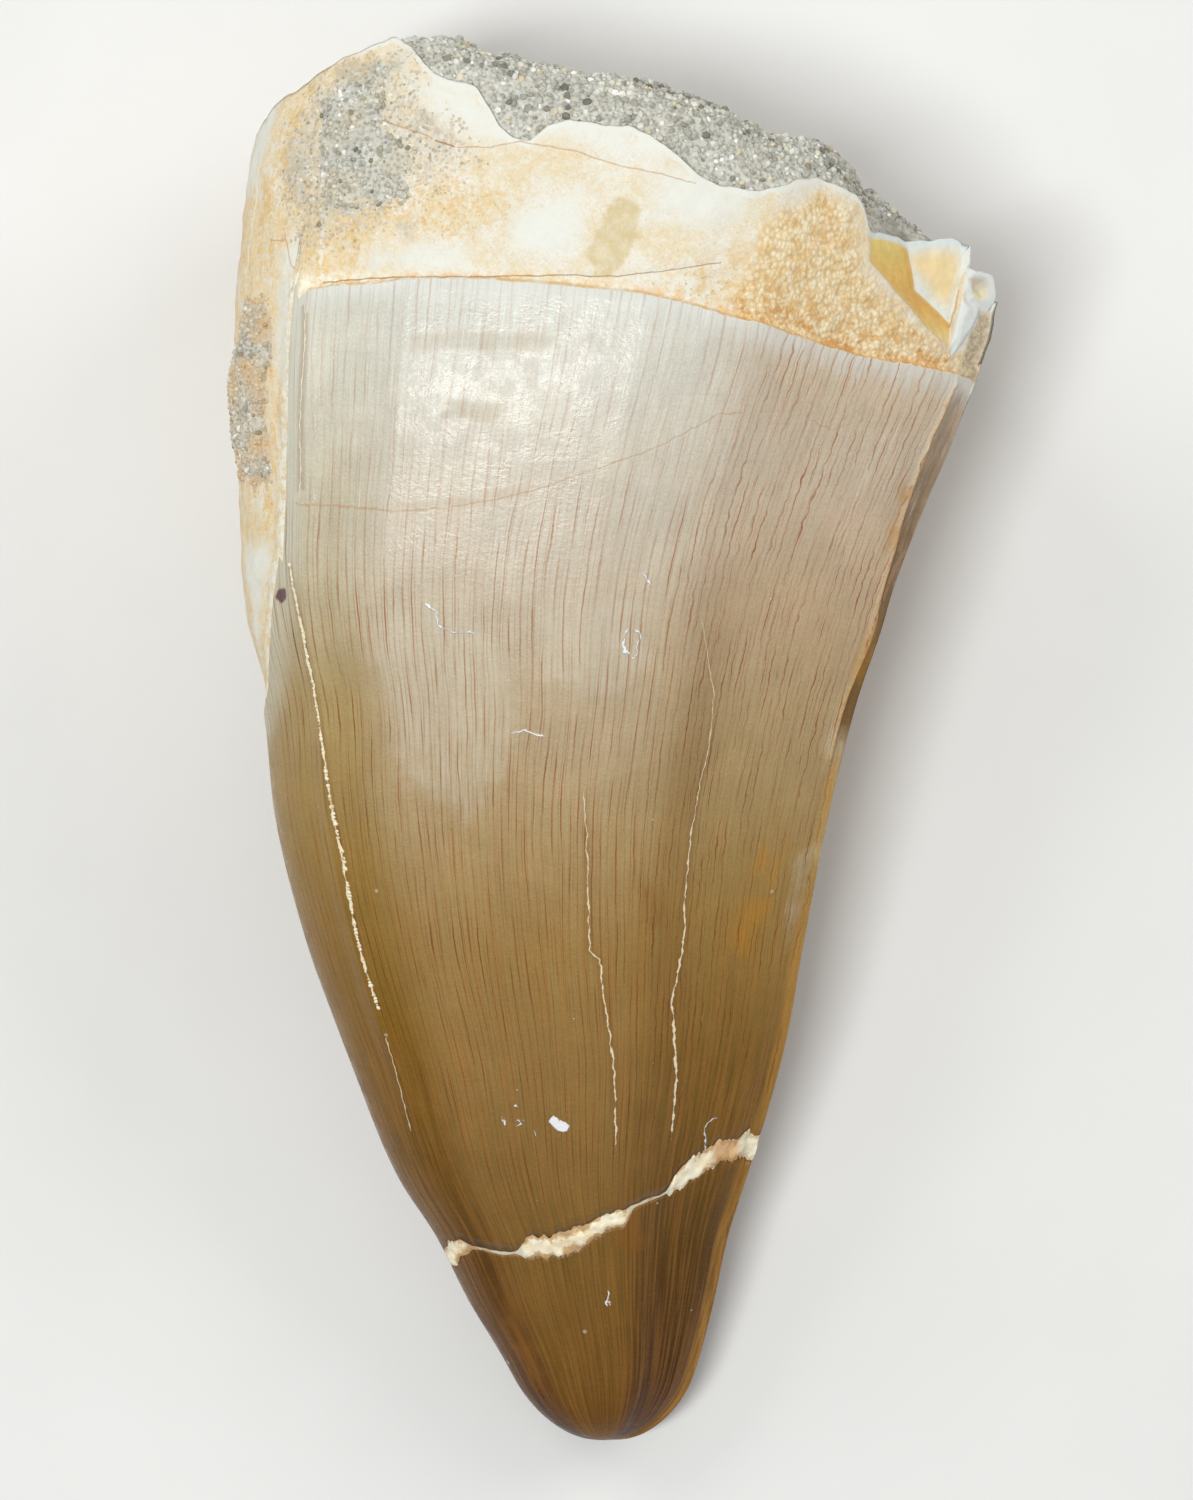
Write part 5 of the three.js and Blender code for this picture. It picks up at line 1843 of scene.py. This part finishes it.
@dataclass
class Crown:
    """The crown and root: enamel, its ledge, the bare root with its broken corner, and the hollow."""

    shop: Workshop
    name: str = "enamel_crown"
    enamel_rows: int = 88
    root_rows: int = 104
    rim_rows: int = 10
    hollow_rows: int = 3
    wall_lowered: float = 0.3
    floor_drop: float = 0.5
    ridge_tall: float = 0.12
    ridge_width: float = 0.15
    swell: float = 0.025

    def _ledge(self, edge: np.ndarray) -> list[tuple[np.ndarray, float]]:
        """The heights and depths of the rounded step at the enamel's edge."""
        steps = ((-0.05, 0.0), (0.01, -0.02), (0.06, -0.1), (0.11, -0.22), (0.18, -self.shop.form.enamel))
        return [(edge + ahead, out) for ahead, out in steps]

    def _root_relief(self, points: np.ndarray, values: dict[str, np.ndarray]) -> np.ndarray:
        """How far the root's surface stands out: lumps, grains, grooves and lobes."""
        relief = self.shop.relief
        grained = smooth_step(values["orange"], -0.4, 0.5)
        lumps = 0.09 * relief(points, 1.9) + 0.045 * relief(points, 0.7) + 0.02 * relief(points, 0.3)
        grains = grained * (0.05 * relief(points, 0.34) + 0.03 * relief(points, 0.2))
        grooves = np.exp(-((values["dark_line"] / 0.09) ** 2)) * (values["dark_width"] > 0)
        lobes, cup = (smooth_step(values[label], -0.05, 0.4) for label in ("lobes", "cup"))
        return lumps + grains - 0.04 * grooves + (0.16 * lobes - 0.22 * cup)

    def build(self, enamel: Material, dentine: Material) -> bpy.types.Object:
        """Makes the crown.

        Args:
            enamel: the material below the enamel's edge.
            dentine: the material above it.

        Returns:
            The crown's object.
        """
        shop, form = self.shop, self.shop.form
        angle, rim = shop.columns, shop.rim_height
        edge = form.enamel_edge(angle) + 0.05 * shop.wave(1.1, 21.0) + 0.04 * shop.wave(0.3, 23.0)
        pole, face = shop.break_face(shop.upper_lip, 0)
        shares = (np.arange(self.enamel_rows) + 1) / (self.enamel_rows + 1)
        ledge = self._ledge(edge)
        root_shares = (np.arange(self.root_rows) + 1) / self.root_rows
        heights = np.vstack([
            [lerp(shop.upper_lip, ledge[0][0], share) for share in shares],
            [height for height, _ in ledge],
            [lerp(ledge[-1][0], rim, share) for share in root_shares],
        ])
        steps = np.concatenate([
            np.zeros(self.enamel_rows), [out for _, out in ledge], np.full(self.root_rows, -form.enamel),
        ])
        chart = shop.chart(heights)
        values = self._values(chart, edge, rim)
        depth = self._depth(chart, steps[:, None], values["from_edge"])
        plain = form.surface(chart.angle, heights, depth)
        first_root = self.enamel_rows + len(ledge)
        share = smooth_step(np.arange(len(heights)), first_root - 3, first_root + 6)[:, None]
        out = depth + share * self._root_relief(plain, values)
        ridge = np.exp(-((values["ridge_line"] / self.ridge_width) ** 2)) * (values["ridge_width"] > 0)
        out = out + self.swell * shop.relief(plain, 3.5) * (1 - share) + self.ridge_tall * ridge
        body = form.surface(chart.angle, heights, out)
        body[..., 2] = np.maximum(body[..., 2] - chart.drop(shop.scar.facets), 0)
        rows = [*face, *body, *self._rim_and_hollow(body[-1])]
        padded = {label: pad_rows(grid, len(face), len(rows)) for label, grid in values.items()}
        materials = np.ones(len(rows), int)
        materials[: len(face) + self.enamel_rows + 1] = 0
        materials[: len(face) - 1] = 1
        floor = form.middle(np.array(form.cavity_floor))
        floor[1] -= self.floor_drop
        skin = Skin(pole, np.array(rows), floor, padded, materials, shop.round_mm)
        made = skin.build(self.name, shop.offset, [enamel, dentine])
        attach(made, BODY)
        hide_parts("crown")
        return made

    def _values(self, chart: Chart, edge: np.ndarray, rim: np.ndarray) -> dict[str, np.ndarray]:
        """Measures the crown's grid against all marks, the enamel's edge and the rim.

        Args:
            chart: the grid.
            edge: the height of the enamel's edge at each column.
            rim: the height of the rim at each column.

        Returns:
            The values by name.
        """
        marks, scar = self.shop.marks, self.shop.scar
        zones = {
            "orange": marks.orange, "ochre": marks.ochre, "stain": marks.stain, "white": marks.white,
            "grey": marks.grey, "gritty": marks.gritty, "lobes": scar.lobes, "amber": (scar.amber,),
            "plate": (scar.plate,), "core": (scar.core,), "cup": (scar.cup,),
        }
        lines = {"dark": marks.dark_lines, "strip": marks.cream_strips, "seam": (scar.seam,)}
        values = self.shop.mark_values(chart) | chart.measure(zones, lines)
        values["from_edge"] = self._from_edge(chart, edge)
        values["from_rim"] = np.clip(chart.y - rim, -2, 0)
        return values

    def _depth(self, chart: Chart, steps: np.ndarray, from_edge: np.ndarray) -> np.ndarray:
        """How deep the surface lies: a small step at the enamel's edge, and a soft slope on the flank."""
        slope = -self.shop.form.enamel * smooth_step(from_edge, 0, 0.9)
        flank = smooth_step(chart.angle, 139, 141.5) * (1 - smooth_step(chart.angle, 200, 215))
        flank = np.maximum(flank, smooth_step(np.abs(turn_between(chart.angle, -6)), 26, 18))
        return lerp(np.broadcast_to(steps, slope.shape), slope, flank)

    def _from_edge(self, chart: Chart, edge: np.ndarray) -> np.ndarray:
        """The distance from the enamel's edge, positive on the root."""
        angle = self.shop.columns[::3]
        places = tuple(zip(np.mod(angle, 360).tolist(), edge[::3].tolist()))
        distance = np.full(chart.angle.shape, chart.FAR)
        for start, stop in zip(places, (*places[1:], places[0])):
            gap, _, _ = chart.segment(start, stop)
            distance = np.minimum(distance, np.abs(gap))
        return np.where(chart.y > edge, distance, -distance)

    def _rim_and_hollow(self, outer: np.ndarray) -> list[np.ndarray]:
        """Makes the broken top of the wall and the hollow behind it.

        Args:
            outer: the root's last ring.

        Returns:
            The rings, from the rim inwards and down.
        """
        shop, form = self.shop, self.shop.form
        inner = form.hollow_ring(shop.columns, 0, 0)
        rings = []
        for row in range(1, self.rim_rows + 1):
            share = row / self.rim_rows
            ring = lerp(outer, inner, share)
            rough = 0.1 * shop.relief(ring, 0.9) + 0.05 * shop.relief(ring, 0.3)
            ring[:, 1] += (rough - self.wall_lowered) * min(1, share / 0.2)
            rings.append(ring)
        for row in range(1, self.hollow_rows + 1):
            rings.append(form.hollow_ring(shop.columns, row / self.hollow_rows, 0))
        return rings


@dataclass
class Tip:
    """The tip that broke off and was glued back."""

    shop: Workshop
    name: str = "glued_tip"
    rows: int = 72
    crowding: float = 1.5
    swell: float = 0.02

    def build(self, enamel: Material, dentine: Material) -> bpy.types.Object:
        """Makes the tip.

        Args:
            enamel: the material of its outside.
            dentine: the material of its broken face.

        Returns:
            The tip's object.
        """
        shop, form = self.shop, self.shop.form
        shares = (np.arange(1, self.rows + 1) / self.rows) ** self.crowding
        heights = np.array([lerp(form.tip_y, shop.lower_lip, share) for share in shares])
        chart = shop.chart(heights)
        values = shop.mark_values(chart)
        values["from_edge"] = np.full(heights.shape, -chart.FAR)
        plain = form.surface(chart.angle, heights)
        body = form.surface(chart.angle, heights, self.swell * shop.relief(plain, 3.5))
        gape = float(form.break_width(np.array(270.0)))
        pole, face = shop.break_face(shop.lower_lip, gape)
        rows = [*body, *face[-2::-1]]
        padded = {label: pad_rows(grid, 0, len(rows)) for label, grid in values.items()}
        materials = np.zeros(len(rows), int)
        materials[len(body) - 1:] = 1
        end = form.middle(np.array(form.tip_y))
        skin = Skin(end, np.array(rows), pole, padded, materials, shop.round_mm)
        made = skin.build(self.name, shop.offset, [enamel, dentine])
        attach(made, BODY)
        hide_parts("tip")
        return made


@dataclass
class RepairFiller:
    """The paste in the break: a ring that fills it, lumpy where the break gapes."""

    shop: Workshop
    name: str = "seam_paste"
    rows: int = 14
    overlap: float = 0.05
    depth: float = 1.2
    inner_low: float = 0.35
    inner_high: float = 0.05

    def build(self, paste: Material) -> bpy.types.Object:
        """Makes the filler.

        Args:
            paste: its material.

        Returns:
            The filler's object.
        """
        shop, form = self.shop, self.shop.form
        angle = shop.columns
        low, high = shop.lower_lip - self.overlap, shop.upper_lip + self.overlap
        gape = shop.upper_lip - shop.lower_lip
        thick = smooth_step(gape, 0.3, 0.8)
        rings = []
        for row in range(self.rows + 1):
            share = row / self.rows
            y = lerp(low, high, share)
            place = form.surface(angle, y)
            belly = math.sin(math.pi * share) ** 0.6
            lumps = 0.06 + 0.16 * shop.relief(place, 0.75) + 0.08 * shop.relief(place, 0.3)
            proud = belly * (0.03 + thick * np.maximum(-0.05, lumps)) - 0.04
            rings.append(form.surface(angle, y, proud))
        inner_low, inner_high = (form.surface(angle, y, -self.depth) for y in (low, high))
        middle = form.middle(np.array(form.break_middle))
        below, above = middle - (0, self.inner_low, 0), middle - (0, self.inner_high, 0)
        inside_low = [lerp(below, inner_low, 0.5), inner_low]
        inside_high = [inner_high, lerp(above, inner_high, 0.5)]
        rows = [*inside_low, *rings, *inside_high]
        across = np.clip((np.arange(len(rows)) - 2) / self.rows, 0, 1)
        shape = (len(rows), len(gape))
        values = {
            "gape": np.broadcast_to(gape, shape), "across": np.broadcast_to(across[:, None], shape)
        }
        skin = Skin(below, np.array(rows), above, values)
        made = skin.build(self.name, shop.offset, [paste])
        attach(made, BODY)
        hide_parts("repair_filler")
        return made


@dataclass
class SandFill:
    """The cemented sand that fills the root up to its thin lip, with its lumpy top of grains."""

    shop: Workshop
    grains: GrainCover
    name: str = "packed_sand"
    cap_rows: int = 46
    centre: tuple[float, float] = (0.4, 10.8)
    lip: float = 0.1
    lowered: float = 0.1
    clearance: float = 0.02
    wall_rows: int = 3
    spacing: float = 0.2
    grain_radius: float = 0.12
    # The notch of the rim beside the broken corner, where the sand keeps lower
    notch: float = 25
    notch_drop: float = 0.45
    # Where the border below the broken corner has no grains
    bare_at: float = 36
    bare_rows: int = 5
    seed: int = 4

    def build(self, dust: Material, grain: Material) -> bpy.types.Object:
        """Makes the sand fill.

        Args:
            dust: the material between the grains.
            grain: the material of the grains.

        Returns:
            The object of the sand fill.
        """
        shop, form = self.shop, self.shop.form
        angle, rim = shop.columns[::2], shop.rim_height[::2]
        shares = np.arange(self.wall_rows, -1, -1) / self.wall_rows
        rings = [form.hollow_ring(angle, share, self.clearance) for share in shares]
        notched = smooth_step(np.abs(turn_between(angle, self.notch)), 9, 4)
        border = lerp(shop.rim_ring[::2], rings[-1], (self.lip + 0.3 * notched)[:, None])
        edge = rim - self.lowered - self.notch_drop * notched
        cover = [np.zeros(len(angle))] * len(rings)
        for row in range(self.cap_rows):
            share = 1 - (row / self.cap_rows) ** 1.2
            x, z = (lerp(middle, border[:, axis], share) for middle, axis in zip(self.centre, (0, 2)))
            y = lerp(form.crest(x), edge, share**10)
            ring = np.stack([x, y, z], -1)
            rough = 0.34 * shop.relief(ring, 1.7) + 0.2 * shop.relief(ring, 0.6)
            ring[:, 1] += (1 - share**6) * rough - self.lowered
            rings.append(ring)
            bare = smooth_step(np.abs(turn_between(angle, self.bare_at)), 21, 16) * (row < self.bare_rows)
            cover.append((1 - bare) * (1.0 if row else 0.5))
        floor = form.middle(np.array(form.cavity_floor))
        across, up = self.centre
        top = np.array([across, form.crest(np.array(across)) - self.lowered, up])
        skin = Skin(floor, np.array(rings), top, {GrainCover.COVER: np.array(cover)})
        made = skin.build(self.name, shop.offset, [dust])
        self.grains.run(made, self.spacing, self.grain_radius, self.seed, grain)
        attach(made, BODY)
        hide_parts("sand_fill")
        return made


# Outlines of the crusts: direction in degrees, 0 towards larger angles and 90 up, and reach in millimetres
ROOT_CRUST: Table = (
    (5, 2.1), (20, 2.2), (28, 2.6), (44, 2.4), (71, 2.6), (90, 3.0), (114, 2.5), (128, 1.8), (144, 1.4),
    (184, 1.6), (196, 2.5), (209, 3.1), (222, 3.5), (237, 4.1), (244, 3.8), (252, 3.1), (265, 3.0),
    (280, 3.6), (288, 3.6), (300, 2.7), (322, 2.0),
)
FLANK_CRUST: Table = (
    (0, 5.6), (30, 4.2), (54, 3.4), (79, 4.2), (100, 4.6), (107, 3.7), (119, 2.2), (182, 1.1),
    (239, 1.9), (248, 3.1), (257, 4.1), (270, 4.1), (286, 3.6), (325, 4.4),
)


@dataclass
class SandCrust:
    """A patch of sand that sticks to the root: a low dome of grains that thins out at its border."""

    shop: Workshop
    grains: GrainCover
    node: str
    middle: tuple[float, float]
    outline: Table
    out: float
    seed: int
    scatter: float = 1.45
    rows: int = 26
    around: int = 100
    spacing: float = 0.155
    grain_radius: float = 0.095
    sunk: float = 0.35
    dip: float = 0.1
    bedded: float = 0.06
    below_rim: float = 0.2

    def _ring(self, share: float, out: float) -> tuple[np.ndarray, np.ndarray]:
        """Finds a ring of places at a share of the outline's reach, kept below the rim.

        Args:
            share: the share.
            out: how far out of the root's surface it lies.

        Returns:
            The points, and the noise that makes the crust patchy there.
        """
        shop, form = self.shop, self.shop.form
        across, along = self.middle
        span = form.surface(across + 0.5, along) - form.surface(across - 0.5, along)
        turn = np.linspace(0, 360, self.around, endpoint=False)
        c, n = np.cos(np.radians(turn)), np.sin(np.radians(turn))
        circle = np.stack([3 * c, 3 * n, 0 * turn + self.seed], -1)
        ragged = 1 + 0.22 * shop.relief(circle, 0.9) + 0.1 * shop.relief(circle, 0.3)
        reach = share * ragged * round_through(self.outline)(turn)
        angle = across + reach * c / np.linalg.norm(span)
        y = np.minimum(along + reach * n, form.rim(angle) - self.below_rim)
        plain = form.surface(angle, y, -form.enamel)
        patchy = shop.relief(plain, 1.6) + 0.5 * shop.relief(plain, 0.6)
        height = out * (1 - share**2) * (1 + 0.4 * patchy) - self.bedded if out > 0 else out
        lowest = -self.dip if out > 0 else -self.sunk
        return form.surface(angle, y, np.maximum(height, lowest) - form.enamel), patchy

    def build(self, dust: Material, grain: Material) -> bpy.types.Object:
        """Makes the crust.

        Args:
            dust: the material between the grains.
            grain: the material of the grains.

        Returns:
            The crust's object.
        """
        shop, form = self.shop, self.shop.form
        rings = [self._ring(share, -self.sunk)[0] for share in (0.3, 0.7, 1.0)]
        cover = [np.zeros(self.around)] * len(rings)
        for row in range(self.rows):
            share = self.scatter * (1 - row / self.rows)
            ring, patchy = self._ring(share, self.out)
            rings.append(ring)
            thinning = smooth_step(self.scatter - share, 0.0, self.scatter - 0.8) ** 1.8
            cover.append(np.clip(thinning * (1 + 0.8 * patchy), 0, 1))
        start = form.surface(*self.middle, -form.enamel - self.sunk)
        end = form.surface(*self.middle, self.out - form.enamel - self.bedded)
        skin = Skin(start, np.array(rings), end, {GrainCover.COVER: np.array(cover)})
        made = skin.build(f"grainy_{self.node}", shop.offset, [dust])
        self.grains.run(made, self.spacing, self.grain_radius, self.seed, grain)
        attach(made, BODY)
        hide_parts(self.node)
        return made


@dataclass
class CuttingEdge:
    """The fine chipped saw teeth along the left cutting edge."""

    shop: Workshop
    beads: EdgeBeads
    name: str = "left_edge_beads"
    spacing: float = 0.15
    radius: float = 0.08
    sunk: float = 0.05
    step: float = 0.2
    seed: int = 3

    def build(self, worn: Material) -> bpy.types.Object:
        """Makes the saw teeth.

        Args:
            worn: their material.

        Returns:
            Their object.
        """
        shop, form = self.shop, self.shop.form
        places = sorted((y, angle) for angle, y in shop.marks.left_edge)
        heights = np.arange(places[0][0], places[-1][0], self.step)
        points = (form.surface(through(places)(heights), heights, -self.sunk) + shop.offset) * MM
        mesh = bpy.data.meshes.new(self.name)
        mesh.from_pydata(points.tolist(), [(i, i + 1) for i in range(len(points) - 1)], [])
        made = bpy.data.objects.new(self.name, mesh)
        bpy.context.scene.collection.objects.link(made)
        self.beads.run(made, self.spacing, self.radius, self.seed, worn)
        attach(made, BODY)
        return made


@dataclass(frozen=True)
class SoftLight:
    """A soft rectangular light that faces the tooth: its place and size in metres, and its watts."""

    name: str
    place: tuple[float, float, float]
    size: tuple[float, float]
    watts: float
    tint: Corner = (1.0, 1.0, 1.0)

    def build(self) -> None:
        """Makes the light."""
        light = bpy.data.lights.new(self.name, "AREA")
        light.shape = "RECTANGLE"
        light.size, light.size_y = self.size
        light.energy = self.watts
        light.color = self.tint
        made = bpy.data.objects.new(self.name, light)
        made.location = self.place
        made.rotation_euler = (-Vector(self.place)).to_track_quat("-Z", "Y").to_euler()
        bpy.context.scene.collection.objects.link(made)


@dataclass
class Studio:
    """The floor, the light and the camera."""

    eye: tuple[float, float, float] = (-0.634, 0.251, 285.0)
    long_side_px: int = 1500
    mm_per_px: float = 0.041488
    distance: float = 276.0
    sensor: float = 36.0
    floor_size: float = 1.6
    floor_z: float = -2e-5
    lights: tuple[SoftLight, ...] = (
        SoftLight("key_light", (-0.093, -0.035, 0.4), (0.053, 0.15), 1.0, (0.94, 0.98, 1.0)),
        SoftLight("top_light", (0.1, 0.1, 0.5), (0.5, 0.5), 0.3),
        SoftLight("left_light", (-0.24, 0.24, 0.26), (0.2, 0.2), 0.46),
        SoftLight("right_light", (0.27, 0.2, 0.24), (0.2, 0.2), 0.48),
    )
    sky: float = 0.25

    def build(self) -> None:
        """Makes the floor, the lights and the camera."""
        self._floor()
        for light in self.lights:
            light.build()
        world = bpy.data.worlds.new("studio")
        world.use_nodes = True
        world.node_tree.nodes["Background"].inputs["Color"].default_value = colour(246, 247, 250)
        world.node_tree.nodes["Background"].inputs["Strength"].default_value = self.sky
        scene = bpy.context.scene
        scene.world = world
        scene.view_settings.view_transform = "Standard"
        camera = bpy.data.cameras.new("camera")
        camera.sensor_width = self.sensor
        camera.lens = self.sensor * self.distance / (self.long_side_px * self.mm_per_px)
        camera.clip_start = 0.01
        made = bpy.data.objects.new("camera", camera)
        made.location = Vector(self.eye) * MM
        scene.collection.objects.link(made)
        scene.camera = made

    def _floor(self) -> None:
        """Makes the floor, a hair below the tooth."""
        half = self.floor_size / 2
        mesh = bpy.data.meshes.new("floor")
        corners = ((-half, -half), (half, -half), (half, half), (-half, half))
        mesh.from_pydata([(x, y, self.floor_z) for x, y in corners], [], [(0, 1, 2, 3)])
        mesh.materials.append(FloorFinish().build())
        floor = bpy.data.objects.new("floor", mesh)
        bpy.context.scene.collection.objects.link(floor)


def report(piece: bpy.types.Object) -> None:
    """Logs what a piece measures."""
    triangles = sum(len(polygon.vertices) - 2 for polygon in piece.data.polygons)
    size = ", ".join(f"{side / MM:.1f}" for side in piece.dimensions)
    log.info("%s: %d triangles, %s mm", piece.name, triangles, size)


def main() -> None:
    """Builds the tooth's pieces, the floor, the light and the camera."""
    logging.basicConfig(level=logging.INFO, format="%(message)s")
    effects = Effects()
    shop = Workshop(ToothForm(), Marks(), Scar())
    enamel = EnamelFinish(effects).build()
    dentine = DentineFinish(effects).build()
    grey, cream, ochre = (SandFinish(effects, tint).build() for tint in SandTint)
    cover, beads = GrainCover(), EdgeBeads()
    root_crust = SandCrust(shop, cover, "root_sand_crust", (132.9, 24.2), ROOT_CRUST, 0.35, 8)
    flank_crust = SandCrust(shop, cover, "flank_sand_crust", (158.9, 13.7), FLANK_CRUST, 0.42, 9, 1.3)
    report(Crown(shop).build(enamel, dentine))
    report(Tip(shop).build(enamel, dentine))
    report(RepairFiller(shop).build(PasteFinish(effects).build()))
    report(SandFill(shop, cover).build(*grey))
    report(root_crust.build(*cream))
    report(flank_crust.build(*ochre))
    report(CuttingEdge(shop, beads).build(WornEdgeFinish().build()))
    Studio().build()


if __name__ == "__main__":
    main()
